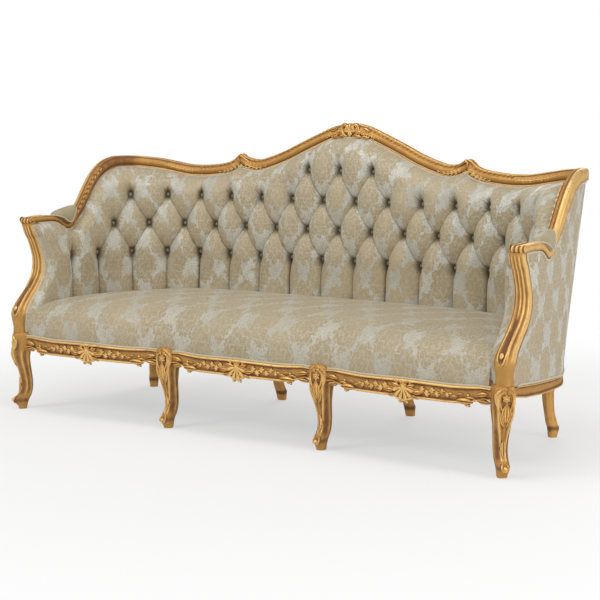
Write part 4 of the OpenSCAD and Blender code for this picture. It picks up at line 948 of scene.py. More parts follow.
def wood(name, colour):
    """Plain beech with rays along the grain."""
    f = Finish(name)
    grain = f.node("ShaderNodeMapping", None, {"Vector": f.position(), "Scale": (4, 40, 40)})
    rings, rays = f.noise(2.4, 4, grain), f.noise(14, 2, grain)
    shade = f.mix((rings * 0.7 + rays * 0.3).step(0.3, 0.7), tone(colour, 0.72), tone(colour, 1.12))
    return f.shade(Base_Color=shade, Roughness=0.5 + rays * 0.2,
                   Normal=f.bump(rings + rays * 0.5, 0.0005, 0.5))


def wire(name, colour):
    """Spring steel with a drawn, slightly dulled face."""
    f = Finish(name, Metallic=0.9)
    dull, fine = f.noise(30, 3), f.noise(300, 2)
    shade = f.mix(dull.step(0.35, 0.7), tone(colour, 0.7), tone(colour, 1.0))
    return f.shade(Base_Color=shade, Roughness=0.28 + dull * 0.25, Normal=f.bump(fine, 0.0003, 0.4))


def colours():
    return bpy.context.scene.sofa_colours


def hidden_finishes():
    """Finishes of the CAD pieces that stay under the covers, by material slot."""
    return {
        "gilt_wood": gilding("plain_gilding", colours(), 1.0),
        "beech": wood("plain_beech", (0.56, 0.40, 0.23)),
        "steel": wire("spring_steel", (0.55, 0.55, 0.56)),
        "jute": plain_cloth("jute_weave", (0.36, 0.27, 0.15), 0.85, 0.1, 900, 0.0012),
        "stuffing": plain_cloth("stuffing_fibre", (0.62, 0.57, 0.46), 0.95, 0.2, 500, 0.002),
        "cambric": black_cambric(),
        "damask": plain_cloth("lining", (0.45, 0.43, 0.36)),
        "plain_cloth": plain_cloth("pad_lining", (0.45, 0.43, 0.36)),
        "gimp": plain_cloth("gimp_lining", (0.55, 0.50, 0.38)),
    }


def shared(make, name, *values):
    """The finish of that name, made the first time that it is asked for."""
    return bpy.data.materials.get(name) or make(name, *values)


def gold():
    return shared(gilding, "gilding", colours())


def plain_gold():
    return shared(gilding, "toned_gilding", colours(), 1.0)


def woven():
    return shared(damask, "woven_damask", colours().ground, colours().figure)


def seat_woven():
    return shared(damask, "seat_damask", colours().ground, colours().figure, (0.172, 0.262), 0.75)


def black_cambric():
    return shared(plain_cloth, "black_cambric", (0.030, 0.030, 0.034), 0.9, 0.1, 1500)


def cream():
    return shared(braid, "gimp_braid", colours().gimp)


FORMS = {}


def form():
    """The sofa's form for the sizes in the panel."""
    sizes = bpy.context.scene.sofa_sizes
    key = tuple(round(getattr(sizes, k), 6) for k in SofaSizes.__annotations__)
    if key not in FORMS:
        FORMS[key] = Form(sizes)
    return FORMS[key]


class PieceOperator(Operator):
    bl_options = {"REGISTER", "UNDO"}


def finished(obj, slot, *nodes):
    """A piece that stands for CAD nodes: it hides them. Its slot is not used."""
    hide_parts(*nodes)
    return obj


class SOFA_OT_show_wood(PieceOperator):
    """The moulded crest rails and arm rails with their carving."""
    bl_idname = "sofa.show_wood"
    bl_label = "Crest and arm rails"

    def length(self, shape, f, start, end, count):
        """A moulded length of show wood between two places."""
        u = np.linspace(start, end, count)
        outline = np.array(CREST_OUTLINE)
        m = len(outline)
        closed = np.vstack([outline[-1:], outline, outline[:2]])
        p = spline(closed, np.linspace(1, m + 1, m * 3, endpoint=False))
        uu = np.repeat(u[:, None], len(p), 1)
        across = p[:, 0] * f.s.crest_thick * f.fullness(u)[:, None]
        grid = f.on_crest(uu, across, p[:, 1] * f.face(u)[:, None])
        # The inner face of the sloping arms is duller than the rest
        rubbed = ease((np.abs(uu) - 15.6) / 1.0) * (1 - ease((np.abs(uu) - 23.2) / 1.2)) * (p[:, 0] > 0.15)
        shape.tube(grid, relief=np.clip(p[:, 2], 0, 1)[None, :] * (1 - 0.62 * rubbed))

    def on_face(self, f, middle, hand=1):
        """Lays carving on the inner face: across from a place, up from the top edge."""
        def place(across, up, out):
            u = f.along(middle, hand * across)
            return f.on_crest(u, 0.47 * f.s.crest_thick * f.fullness(u) + out, up)
        return place

    def on_top(self, f, middle, hand=1):
        """Lays carving over the top: across from a place, up runs outwards over the edge."""
        reach, rise, sunk = 0.020, 0.014, 0.013

        def place(across, up, out):
            u, turn = f.along(middle, hand * across), np.clip(up / reach + 0.5, 0, 2.6)
            return f.on_crest(u, np.cos(turn) * (reach + out), np.sin(turn) * (rise + out) - sunk)
        return place

    def cartouche(self):
        """A shell over a rosette, framed by scrolls and leaves, with a spray to either side."""
        parts = fan(0, -0.036, math.pi / 2, 0.034, 7, 2.5)
        parts += fan(0, -0.030, -math.pi / 2, 0.022, 3, 1.2, 0.26)
        parts += mirrored(scroll(0.014, -0.050, 0.15, 0.044, 1) + scroll(0.040, -0.014, -0.5, 0.028, -1)
                          + leaf(0.030, -0.034, 0.45, 0.036, -0.7) + leaf(0.028, -0.044, -0.25, 0.040, 0.5)
                          + leaf(0.010, -0.014, 0.9, 0.014, -0.8) + ball(0.050, -0.026, 0.005))
        parts += mirrored(spray(0.052, -0.028, -0.05, 0.085, 1, 6, 0.2, 0.017)
                          + leaf(0.060, -0.012, 0.1, 0.040, -0.4) + leaf(0.066, -0.042, -0.1, 0.038, 0.5))
        return parts + rosette(0, -0.032, 0.012)

    def running(self, start, end, gap, size):
        """Leaves that run along an edge."""
        parts = []
        for x in np.arange(start, end, gap):
            grow = size * (1 - 0.25 * (x - start) / (end - start))
            parts += leaf(x, -0.003, 0.55, grow, -0.8, 0.20, 0.20)
            parts += leaf(x, -0.005, -0.5, grow * 0.8, 0.8, 0.20, 0.20)
        return parts

    def knuckle(self):
        """A hooked rim round a berry, with a spray to either side."""
        hook = np.array([[-0.060, -0.018], [-0.036, -0.008], [-0.012, -0.004], [0.010, -0.009],
                         [0.018, -0.021], [0.011, -0.033], [-0.001, -0.031], [-0.004, -0.021]])
        return ([(hook, HOOK_WIDTH, 0.0062, 0.0090, 0.35)]
                + ball(0.001, -0.020, 0.0052, 1.3)
                + spray(0.030, -0.026, -0.30, 0.080, 1, 5, 0.4, 0.016)
                + spray(-0.034, -0.024, math.pi + 0.30, 0.080, -1, 5, 0.4, 0.016))

    def execute(self, context):
        f, finish = form(), gold()
        rails = {"crest_rail_center": (-KNUCKLE_AT, KNUCKLE_AT, 420),
                 "crest_rail_right": (KNUCKLE_AT, SHOULDER_AT, 150),
                 "crest_rail_left": (-SHOULDER_AT, -KNUCKLE_AT, 150),
                 "arm_rail_right": (SHOULDER_AT, LAST_AT, 300),
                 "arm_rail_left": (-LAST_AT, -SHOULDER_AT, 300)}
        for name, (start, end, count) in rails.items():
            shape, hand = Shape(), 1 if end > 0 else -1
            self.length(shape, f, start, end, count)
            if name == "crest_rail_center":
                carve(shape, self.cartouche(), self.on_face(f, 0))
                for hand in (-1, 1):
                    carve(shape, self.running(0.06, 0.50, 0.020, 0.026), self.on_top(f, 0, hand))
                    carve(shape, self.knuckle(), self.on_face(f, hand * 7.86, hand))
            elif name.startswith("crest"):
                carve(shape, self.running(0.03, 0.20, 0.020, 0.024), self.on_top(f, hand * KNUCKLE_AT, hand))
                for way in (-hand, hand):
                    sprig = spray(0.0, -0.022, -0.05, 0.10, 1, 6, 0.2, 0.013)
                    carve(shape, sprig, self.on_face(f, hand * 12.4, way))
            else:
                carve(shape, self.running(0.02, 0.30, 0.024, 0.026), self.on_top(f, hand * 19.0, hand))
                carve(shape, spray(0, 0.010, 0.0, 0.085, 1, 7, 0.1, 0.017), self.on_top(f, hand * 27.2, hand))
                self.hand(shape, f, hand)
            finished(shape.build(name + "_moulded", f, finish), "gilt_wood", name)
        return {"FINISHED"}

    def hand(self, shape, f, hand):
        """The end of the arm: a rolled front with ridges and an eye on each side."""
        end = f.crest(hand * (LAST_AT - 0.02))
        run = f.crest_run(hand * (LAST_AT - 0.02)) * hand
        side = np.array([1.0, 0, 0])
        top = np.array([0, 0, 1.0])
        middle = end - top * 0.0135 - run * 0.003
        radius, half_wide, ridge_high, eye_at = 0.0125, 0.0240, 0.0018, 0.0236
        across = np.linspace(-1, 1, 31)
        ridge = 0.5 + 0.5 * np.cos(across * math.pi * 3)
        r = (radius + ridge_high * ridge) * (1 - 0.16 * across ** 6)
        rows = []
        for t in np.linspace(-0.6, math.pi + 0.9, 26):
            turn = t - math.pi / 2 + 1.2
            p = (middle + side * (across * half_wide)[:, None]
                 + run * (np.cos(turn) * r)[:, None] + top * (np.sin(turn) * r)[:, None])
            rows.append(np.vstack([p, middle + side * half_wide, middle - side * half_wide]))
        shape.tube(np.array(rows), relief=np.concatenate([ridge, [0.3, 0.3]]))
        for way in (-1, 1):
            def place(a, b, out, way=way):
                return (middle + side * (way * (eye_at + np.asarray(out)))[..., None]
                        + run * np.asarray(a)[..., None] + top * np.asarray(b)[..., None])
            carve(shape, scroll(-0.006, -0.009, 0.0, 0.022, 1, 5.0) + ball(0, 0, 0.0035), place)


class SOFA_OT_stumps(PieceOperator):
    """The S-shaped arm stumps with their ridged fronts."""
    bl_idname = "sofa.stumps"
    bl_label = "Arm stumps"

    def execute(self, context):
        f, finish = form(), gold()
        n = len(f.stump_line) - 1
        at = np.linspace(0, n, 110)
        line = spline(f.stump_line, at)
        size = spline(f.stump_full, at)
        run = unit(np.gradient(line, axis=0))
        side = np.array([1.0, 0, 0])
        up = unit(np.cross(side, run))
        angle = np.linspace(0, 2 * math.pi, 64, endpoint=False)
        c, s = squircle(angle, 3.2)
        for name, hand in HANDS:
            front = np.clip(-s * 1.6, 0, 1)[None, :]
            down = (at / n)[:, None]
            ridges = 0.5 + 0.5 * np.cos(c * math.pi * 4)[None, :]
            # Below its middle the front has a long drop of bare clay
            drop = (np.clip(1 - (c[None, :] / 0.30) ** 2, 0, 1) * ease((down - 0.50) / 0.10)
                    * (1 - ease((down - 0.79) / 0.03)))
            fade = ease((down - 0.01) / 0.05) * (1 - ease((down - 0.74) / 0.10))
            sides = np.clip(np.abs(c) * 1.5, 0, 1)[None, :] * (0.5 + 0.5 * np.cos(s * math.pi * 2))[None, :]
            grow = 0.0042 * (ridges - 0.6) * front * fade + 0.0018 * (sides - 0.5) * (1 - front) * fade
            rings = (line[:, None, :] + side * ((size[:, :1] / 2 + grow) * c)[..., None]
                     + up[:, None, :] * ((size[:, 1:] / 2 + grow) * s)[..., None])
            relief = blend(0.62, np.where(front > 0.3, ridges ** 0.55, sides), fade)
            relief = relief * (1 - np.clip(drop * 1.25, 0, 1) * front)
            rings[..., 0] *= hand
            shape = Shape().tube(rings, relief=relief)

            def place(a, b, out):
                z = np.asarray(b)
                k = np.interp(-z, -line[:, 2], np.arange(len(line)))
                i = np.clip(k.astype(int), 0, len(line) - 1)
                w, d = size[i, 0] / 2, size[i, 1] / 2
                bend = np.clip(1 - (np.abs(a) / w) ** 3, 0.2, 1) ** 0.34
                base = spline(line, k)
                p = base + side * np.asarray(a)[..., None] - up[i] * (d * bend + out)[..., None]
                p[..., 0] *= hand
                return p
            rim = np.array([[0.010, 0.452], [0.0135, 0.415], [0.0150, 0.390], [0.0105, 0.371],
                            [0.001, 0.364]])
            carve(shape, mirrored([(rim, RIM_WIDTH, 0.0028, 0.0042, 0)]) + ball(0, 0.382, 0.0072, 1.1), place)
            node = "arm_stump_" + name
            finished(shape.build(node + "_carved", f, finish), "gilt_wood", node)
        return {"FINISHED"}


def leg_shape(pillar, power_low, power_high, ridged, hand):
    """A leg's skin, and how carving lies on its front."""
    angle = np.linspace(0, 2 * math.pi, 72, endpoint=False)
    n = len(pillar["share"])
    share = pillar["share"][:, None]
    power = blend(power_low, power_high, ease((share - 0.55) / 0.2))
    c, s = squircle(angle[None, :], power)
    front = np.clip(c * 1.5, 0, 1)
    spread = 0.30 + 0.42 * ease((share - 0.25) / 0.5)
    ridge = np.exp(-((np.abs(s) - spread) / 0.16) ** 2) + 0.7 * np.exp(-(s / 0.13) ** 2)
    fade = ease((share - 0.13) / 0.1) * (1 - ease((share - 0.86) / 0.08)) * ridged
    grow = 0.0050 * (ridge - 0.45) * front * fade
    # Its flanks have a rim along each edge and a shallow hollow between them
    flank = (1 - front) * ease((share - 0.15) / 0.1) * (1 - ease((share - 0.74) / 0.1)) * ridged
    rim = np.exp(-((c - 0.10) / 0.16) ** 2) + 0.8 * np.exp(-((c + 0.66) / 0.15) ** 2)
    grow = grow + 0.0032 * (rim - 0.55) * flank
    toe = np.exp(-((share - 0.115) / 0.04) ** 2)
    relief = blend(0.60, 0.15 + 0.85 * ridge, front * fade)
    relief = blend(relief, 0.22 + 0.74 * rim, flank)
    relief = blend(relief, 0.16, toe * 0.9)
    rings = (pillar["middle"][:, None, :] + pillar["out"] * ((pillar["deep"][:, None] + grow) * c)[..., None]
             + pillar["side"] * ((pillar["wide"][:, None] + grow) * s)[..., None])
    rings[..., 0] *= hand
    shape = Shape().tube(rings, relief=relief)
    height = pillar["middle"][:, 2]

    def place(across, z, out):
        k = np.interp(z, height, np.arange(n))
        wide, deep = np.interp(k, np.arange(n), pillar["wide"]), np.interp(k, np.arange(n), pillar["deep"])
        middle = spline(pillar["middle"], k)
        bend = np.clip(1 - np.clip(np.abs(across) / wide, 0, 0.98) ** 4, 0.02, 1) ** 0.25
        p = (middle + pillar["out"] * (deep * bend + out)[..., None]
             + pillar["side"] * np.asarray(across)[..., None])
        p[..., 0] *= hand
        return p
    return shape, place


class SOFA_OT_front_legs(PieceOperator):
    """The four carved cabriole legs."""
    bl_idname = "sofa.front_legs"
    bl_label = "Front legs"

    def carving(self, top, w):
        """A shield with arched rims and a rosette, a leaf drop and a scrolled toe."""
        parts = []
        for grow in (1.0, 0.72):
            rim = np.array([[0, top - 0.002], [0.42 * w, top - 0.020], [0.46 * w, top - 0.046],
                            [0.34 * w, top - 0.078], [0.12 * w, top - 0.112]])
            rim = (rim - [0, top - 0.046]) * grow + [0, top - 0.046]
            parts += mirrored([(rim, RIM_WIDTH, 0.0036, 0.0068, 0.25)])
        parts += rosette(0, top - 0.040, 0.015, 6) + leaf(0, top - 0.054, -math.pi / 2, 0.072, 0, 0.13, 0.13)
        parts += mirrored(leaf(0.004, top - 0.062, -1.15, 0.046, -0.5, 0.15, 0.17)
                          + leaf(0.003, top - 0.082, -1.25, 0.040, -0.4, 0.15, 0.17)
                          + leaf(0.005, top - 0.028, 1.0, 0.020, 0.6)
                          + leaf(0.30 * w, top - 0.090, -1.85, 0.050, -0.2, 0.12, 0.14))
        parts += mirrored(leaf(0.002, 0.118, -1.35, 0.040, -0.35, 0.16, 0.16))
        parts += leaf(0, 0.124, -math.pi / 2, 0.062, 0, 0.14, 0.16)
        parts += mirrored(scroll(0.003, 0.052, -0.6, 0.024, -1, 4.2, 0.18)) + ball(0, 0.036, 0.0075, 1.2)
        return parts

    def execute(self, context):
        f, finish = form(), gold()
        w = f.s.block
        corner, inner = f.front_legs
        legs = {"front_leg_corner_": (corner, (1, -1), FRONT_LEG_SHARES),
                "front_leg_inner_": (inner, (0, -1), FRONT_LEG_SHARES[:-2] + ARCHED_TOP_SHARES)}
        for name, (top, out, shares) in legs.items():
            pillar = f.pillar(top, out, f.block_height, w, shares, count=110)
            for end, hand in HANDS:
                shape, place = leg_shape(pillar, 2.7, 5.0, 1.0, hand)
                carve(shape, self.carving(f.block_height, w), place)
                finished(shape.build(name + end + "_carved", f, finish), "gilt_wood", name + end)
        return {"FINISHED"}


class SOFA_OT_rear_legs(PieceOperator):
    """The four plainer splayed legs at the back."""
    bl_idname = "sofa.rear_legs"
    bl_label = "Rear legs"

    def execute(self, context):
        f, finish = form(), plain_gold()
        corner, inner = f.rear_legs
        legs = {"rear_leg_corner_": (corner, (1, 1), 0.0),
                "rear_leg_inner_": (inner, (0, 1), REAR_SPLAY_SHARE)}
        for name, (top, out, splay) in legs.items():
            pillar = f.pillar(top, out, f.s.rail_height, f.s.rear_block, REAR_LEG_SHARES, splay, 80)
            for end, hand in HANDS:
                shape, _ = leg_shape(pillar, 3.0, 6.0, 0.35, hand)
                finished(shape.build(name + end + "_shaped", f, finish), "gilt_wood", name + end)
        return {"FINISHED"}


# Outline of a seat rail from its lower edge up its face: shares of the ridge's depth and of
# the face, and how far each place stands out
RAIL_OUTLINE = ((1.5, 0.00, 0.2), (0.7, -0.01, 0.7), (0.1, 0.03, 1.0), (0.0, 0.07, 1.0), (0.3, 0.12, 0.7),
                (1.1, 0.15, 0.0), (1.3, 0.20, 0.15), (1.0, 0.35, 0.45), (0.8, 0.52, 0.55), (1.0, 0.68, 0.4),
                (1.3, 0.79, 0.1), (1.1, 0.835, 0.0), (0.3, 0.86, 0.8), (0.0, 0.90, 1.0), (0.0, 0.94, 1.0),
                (0.4, 0.98, 0.9), (1.0, 1.00, 0.6))


class SOFA_OT_seat_rails(PieceOperator):
    """The serpentine front rails with shells, vines and curls, and the side rails."""
    bl_idname = "sofa.seat_rails"
    bl_label = "Seat rails"

    # Depth of the mouldings, depth of the rebate for the cloth, and the rail's thickness
    RIDGE, REBATE, THICK = 0.0056, 0.014, 0.034

    def ring(self, f, at, back, low, high):
        """The rail's outline at each place: its moulded face, its rebate and its inside."""
        face = np.array(RAIL_OUTLINE)
        tall = (high - low)[:, None]
        deep = np.repeat((face[:, 0] * self.RIDGE)[None, :], len(low), 0)
        up = low[:, None] + face[:, 1] * tall
        more_deep = np.array([[self.REBATE] * 2 + [self.THICK] * 2]).repeat(len(low), 0)
        more_up = np.stack([high, high * 0 + f.tack, high * 0 + f.tack, low + (high - low) * 0.2], 1)
        deep, up = np.hstack([deep, more_deep]), np.hstack([up, more_up])
        grid = at[:, None, :] + back * deep[..., None]
        grid[..., 2] = up
        relief = np.concatenate([face[:, 2], [0.4, 0.2, 0.2, 0.2]])
        return grid, np.repeat(relief[None, :], len(low), 0)

    def bay_carving(self, f, reach, spread):
        """A shell with a flower over it, a vine to either side and curls by the legs."""
        z = f.s.rail_height
        parts = fan(0, z - 0.026, -math.pi / 2, 0.050, 6, 2.5, 0.17)
        parts += rosette(0, z - 0.022, 0.015, 5) + mirrored(
            leaf(0.006, z - 0.016, 0.9, 0.026, -0.5) + leaf(0.010, z - 0.026, 0.15, 0.036, 0.3)
            + scroll(0.040, z - 0.058, 2.5, 0.030, 1, 3.8) + scroll(0.058, z - 0.028, -2.6, 0.030, -1, 3.8)
            + leaf(0.030, z - 0.050, -0.6, 0.034, 0.7) + leaf(0.034, z - 0.040, -0.1, 0.040, 0.3))
        side = vine(0.054, z - 0.034, 0.02, spread, 6, 0.021)
        curl = reach - 0.052
        side += scroll(curl, z - 0.044, 2.5, 0.034, 1, 4.0)
        side += leaf(curl + 0.004, z - 0.030, 0.45, 0.044, -0.6)
        side += leaf(curl + 0.006, z - 0.044, -0.35, 0.044, 0.4)
        side += leaf(curl - 0.010, z - 0.052, math.pi - 0.1, 0.060, 0.2)
        side += ball(curl - 0.026, z - 0.030, 0.005)
        # Single leaves fill what the vine leaves open on a long bay
        for i, x in enumerate(np.arange(0.065 + spread, curl - 0.05, 0.018)):
            way = 1 if i % 2 else -1
            side += leaf(x, z - 0.034, 0.5 * way, 0.026, -0.6 * way, 0.16, 0.16)
        return parts + mirrored(side)

    def execute(self, context):
        f, finish = form(), gold()
        near, far, corner = f.leg_x()
        bays = {"front_rail_center": (-near, near), "front_rail_right": (far, corner),
                "front_rail_left": (-corner, -far)}
        for name, (start, end) in bays.items():
            x = np.linspace(start, end, 190)
            at = np.column_stack([x, f.front_y(x), x * 0])
            grid, relief = self.ring(f, at, np.array([0, 1.0, 0]), f.front_low(x), f.front_high(x))
            shape = Shape().tube(grid, relief=relief)
            middle = (start + end) / 2

            def place(across, z, out):
                x = middle + np.asarray(across)
                share = (z - f.front_low(x)) / (f.front_high(x) - f.front_low(x))
                bowl = self.RIDGE * (0.75 + 0.25 * np.abs(share * 2 - 1) ** 3)
                return np.stack([x, f.front_y(x) + bowl - out, z], -1)
            carve(shape, self.bay_carving(f, (end - start) / 2, 0.115), place)
            finished(shape.build(name + "_carved", f, finish), "gilt_wood", name)
        self.side_rails(f, finish)
        return {"FINISHED"}

    def side_rails(self, f, finish):
        start, end = f.side_ends()
        wall = f.wall_line[LAST_AT + SHOULDER_AT:][::-1]
        face = f.s.rail_face

        def outside(y):
            return np.interp(y, wall[:, 1], wall[:, 0])

        def edges(y):
            share = (y - start) / (end - start)
            low = f.rail_low + read(SIDE_LOW_SHARES, share) * face
            return low, f.s.rail_height + read(SIDE_TOP_SHARES, share) * face
        for name, hand in HANDS:
            y = np.linspace(start, end, 130)
            low, high = edges(y)
            at = np.column_stack([outside(y), y, y * 0])
            grid, relief = self.ring(f, at, np.array([-1.0, 0, 0]), low, high)
            grid[..., 0] *= hand
            shape = Shape().tube(grid, relief=relief)

            def place(across, z, out):
                y = start + np.asarray(across)
                return np.stack([hand * (outside(y) - 0.0050 + out), y, z], -1)
            z = f.s.rail_height - 0.036
            parts = leaf(0.004, z + 0.008, -0.10, 0.050, -0.2, 0.16)
            parts += leaf(0.004, z - 0.002, -0.35, 0.040, 0.3, 0.18)
            carve(shape, parts, place)
            node = "side_rail_" + name
            finished(shape.build(node + "_carved", f, finish), "gilt_wood", node)


# Upholstery

class SOFA_OT_inside_cover(PieceOperator):
    """The deep-buttoned damask that runs round the back and both arms."""
    bl_idname = "sofa.inside_cover"
    bl_label = "Buttoned back and arms"

    def rolled(self, f, edge, z, arc, hand):
        """Columns from the arm's padded face round its front to the stump, with their cloth places."""
        goal = f.arm_front(z, hand)
        columns, gone = (part[1:] for part in f.rolled_line(edge, goal))
        goal_x = np.repeat(goal[None, :, 0], len(columns), 0)
        behind = np.stack([goal_x, columns[..., 1] + 0.003, columns[..., 2]], -1)
        return columns, behind, arc + hand * gone

    def execute(self, context):
        f = form()
        # Between the fixed arcs the columns stand still, and past them they follow the stump
        share, fixed = COVER_END_SHARE, f.s.pitch * 7.4
        steps = 440
        inner = np.linspace(-fixed, fixed, steps)
        outer = np.linspace(0, 1, 46)[1:]
        end = f.end_arc(f.s.arm_height * 0.93, share)
        past = fixed + outer * (end - fixed)
        top_arc = np.concatenate([-past[::-1], inner, past])
        top = f.wall_top(f.place(top_arc))
        near_stump = ease((np.abs(top_arc) - end + 0.14) / 0.08)
        low = blend(COVER_LOW, f.s.rail_height + CLOTH_GAP, near_stump)
        rows = np.linspace(0, 1, 140)
        rows = blend(rows, 1 - (1 - rows) ** 1.5, 0.35)

        def heights(rows):
            return low[:, None] + (top - low)[:, None] * rows[None, :]

        def arcs(z):
            reach = f.end_arc(z, share) - fixed
            out = [-(fixed + o * reach[i]) for i, o in enumerate(outer[::-1])]
            right = [fixed + o * reach[len(outer) + steps + i] for i, o in enumerate(outer)]
            return np.vstack([out, np.repeat(inner[:, None], z.shape[1], 1), right])
        z, back_z = heights(rows), heights(np.linspace(1, 0, 26))
        arc, back_arc = arcs(z), arcs(back_z)
        front, back = f.cover_point(arc, z), f.cover_back(f.place(back_arc), back_z)
        full = f.tuft(arc, z)
        for hand, last in ((-1, 0), (1, -1)):
            column, _, far = self.rolled(f, front[last], z[last], arc[last], hand)
            _, behind, _ = self.rolled(f, back[last], back_z[last], back_arc[last], hand)
            ends = [(front, column), (back, behind), (arc, far), (z, np.repeat(z[last][None], len(far), 0)),
                    (full, np.full(far.shape, FLAT_FULL))]
            joined = [np.concatenate([a, b] if hand > 0 else [b[::-1], a]) for a, b in ends]
            front, back, arc, z, full = joined
        grid = np.concatenate([front, back], 1)
        cloth = np.zeros(grid.shape)
        cloth[:, :len(rows), 0], cloth[:, :len(rows), 1] = arc, z
        relief = np.concatenate([full, np.full(back.shape[:2], 0.5)], 1)
        shape = Shape().tube(grid, relief=relief, cloth=cloth)
        cover = shape.build("inside_cover_buttoned", f, woven(), math.radians(80))
        finished(cover, "damask", "inside_back_cover", "inside_arm_cover_left", "inside_arm_cover_right")
        self.buttons(f)
        return {"FINISHED"}

    def buttons(self, f):
        """Covered buttons, each with a pulled rim, at the bottoms of their wells."""
        shape = Shape()
        outline = np.array(((0.0, 0.0), (0.30, 0.02), (0.45, 0.14), (0.50, 0.26), (0.44, 0.38), (0.30, 0.47),
                            (0.14, 0.52), (0.01, 0.53))) * f.s.button * 0.8
        turn = np.linspace(0, 2 * math.pi, 20, endpoint=False)
        for k in range(BUTTON_ROWS):
            for s in f.columns(k, 9):
                z = f.s.first_row + f.s.row * k
                here, height = np.array([s]), np.array([z])
                if not f.has_button(here, k)[0]:
                    continue
                middle = f.cover_point(here, height, 0.002)[0]
                way = unit(f.way(f.place(here)))[0]
                side = unit(np.cross(way, [0, 0, 1.0]))
                up = np.cross(side, way)
                rings = [[middle + way * h + (side * math.cos(t) + up * math.sin(t)) * r for t in turn]
                         for r, h in outline]
                # A button's own piece of cloth comes from half a pitch further on
                spot = s + f.s.pitch / 2
                cloth = np.array([[[spot + r * math.cos(t), z + r * math.sin(t), 0] for t in turn]
                                  for r, _ in outline])
                # A relief of 0.20 darkens the buttons partly with the painted shade of their wells
                shape.tube(np.array(rings), relief=0.20, cloth=cloth)
        buttons = finished(shape.build("covered_buttons", f, woven()), "damask", "back_buttons")


class SOFA_OT_seat(PieceOperator):
    """The tight seat: a long crown that rolls over the front rails."""
    bl_idname = "sofa.seat"
    bl_label = "Tight seat"

    # The seat's section from the front rail to the back: shares of its depth and of its rise
    TOP_SHARES = ((0.000, 0.00), (-0.004, 0.12), (-0.004, 0.26), (0.006, 0.44), (0.030, 0.63), (0.078, 0.79),
                  (0.160, 0.905), (0.300, 0.98), (0.480, 1.00), (0.680, 0.985), (0.860, 0.955), (1.000, 0.92))

    def execute(self, context):
        f = form()
        n = 230
        share = np.linspace(-1, 1, n)
        x = f.seat_end * np.sign(share) * np.abs(share) ** 0.9
        flared_x = f.flared(np.column_stack([x, x * 0, x * 0]))[:, 0]
        base = f.front_high(flared_x) + CLOTH_GAP
        front = f.front_y(flared_x) + 0.014 * 0.70
        back = np.interp(np.abs(x), f.seat_back[:, 0], f.seat_back[:, 1])
        table = np.array(self.TOP_SHARES)
        p = spline(table, np.linspace(0, len(table) - 1, 84))
        drop = 1 - 0.22 * (np.abs(x) / f.seat_end) ** 6
        y = front[:, None] + (back - front)[:, None] * p[None, :, 0]
        rise = (f.s.seat_height - base)[:, None]
        # The crown swells a little between the legs, and the front pulls down to the rail
        bays = 0.0035 * np.cos(np.clip(f.bay_share(x), 0, 1) * math.pi)[:, None]
        bays = bays * np.sin(np.clip(p[None, :, 1], 0, 1) * math.pi)
        pulls = 0.0008 * np.sin(x / 0.021)[:, None] * np.exp(-((p[None, :, 1] - 0.12) / 0.16) ** 2)
        z = base[:, None] + rise * p[None, :, 1] * drop[:, None]
        y = y - bays - pulls
        grid = np.stack([np.repeat(x[:, None], y.shape[1], 1), y, z], -1)
        grid = f.flared(grid)
        # The cloth's place is measured along the section, at the seat's own depth and rise
        deep, high = 0.58, 0.166
        run = np.concatenate([[0], np.cumsum(np.hypot(np.diff(p[:, 0]) * deep, np.diff(p[:, 1]) * high))])
        cloth = np.zeros(grid.shape)
        cloth[..., 0], cloth[..., 1] = grid[..., 0], run[None, :] - 0.02
        # Its underside dips from the back, runs over the springs and ends inside the front edge
        dip, spring_top, lip, over = 0.030, 0.330, 0.010, 40
        under = np.stack([np.stack([grid[:, -1, 0], grid[:, -1, 1], z[:, -1] - dip], -1),
                          np.stack([grid[:, over, 0], grid[:, over, 1], np.full(n, spring_top)], -1),
                          np.stack([grid[:, 0, 0], grid[:, 0, 1] + lip, z[:, 0]], -1)], 1)
        grid = np.concatenate([grid, under], 1)
        cloth = np.concatenate([cloth, np.zeros(under.shape)], 1)
        shape = Shape().tube(grid, relief=0.7, cloth=cloth)
        seat = shape.build("seat_cover_crowned", f, seat_woven(), math.radians(80))
        finished(seat, "damask", "seat_cover")
        return {"FINISHED"}


class SOFA_OT_arm_pads(PieceOperator):
    """The oval satin pads on the arms."""
    bl_idname = "sofa.arm_pads"
    bl_label = "Arm pads"

    def execute(self, context):
        f = form()
        satin = plain_cloth("pad_satin", colours().plain, 0.42, 0.3)
        guide = f.crest_line[LAST_AT + SHOULDER_AT:][::-1]
        middle_y, length, width, crown = f.depth * PAD_AT, PAD_LENGTH, 0.066, 0.015
        ends = [np.interp(middle_y + w * length / 2, guide[:, 1], guide[:, 2]) for w in (-1, 1)]
        places = np.arange(LAST_AT, SHOULDER_AT - 1, -1)
        for name, hand in HANDS:
            grid = []
            for t in np.linspace(0.0, 1, 60):
                share = 0.5 - 0.5 * math.cos(math.pi * t)
                y = middle_y + (share - 0.5) * length
                u = np.interp(y, guide[:, 1], places)
                rail = f.crest(np.array([u]))[0]
                oval = max(0.04, math.sqrt(max(0.0, 1 - (2 * share - 1) ** 2)))
                line = blend(ends[0], ends[1], share)
                low, high = rail[2] + CLOTH_GAP, max(rail[2] + 0.003, line + crown * oval ** 0.6)
                ring = []
                for a in np.linspace(-0.5, math.pi + 0.5, 40):
                    # Below its edge the pad is drawn in and tucks under
                    above = math.sin(a) > 0
                    wide = width / 2 * oval * (1.0 if math.sin(a) >= 0 else 0.96)
                    z = low + (high - low) * math.sin(a) ** 0.62 if above else low + 0.004 * math.sin(a)
                    ring.append([hand * (rail[0] + wide * math.cos(a)), y, z])
                grid.append(ring)
            shape, node = Shape().tube(np.array(grid), relief=0.7), "arm_pad_" + name
            pad = finished(shape.build(node + "_oval", f, satin, math.radians(80)), "plain_cloth", node)
        return {"FINISHED"}


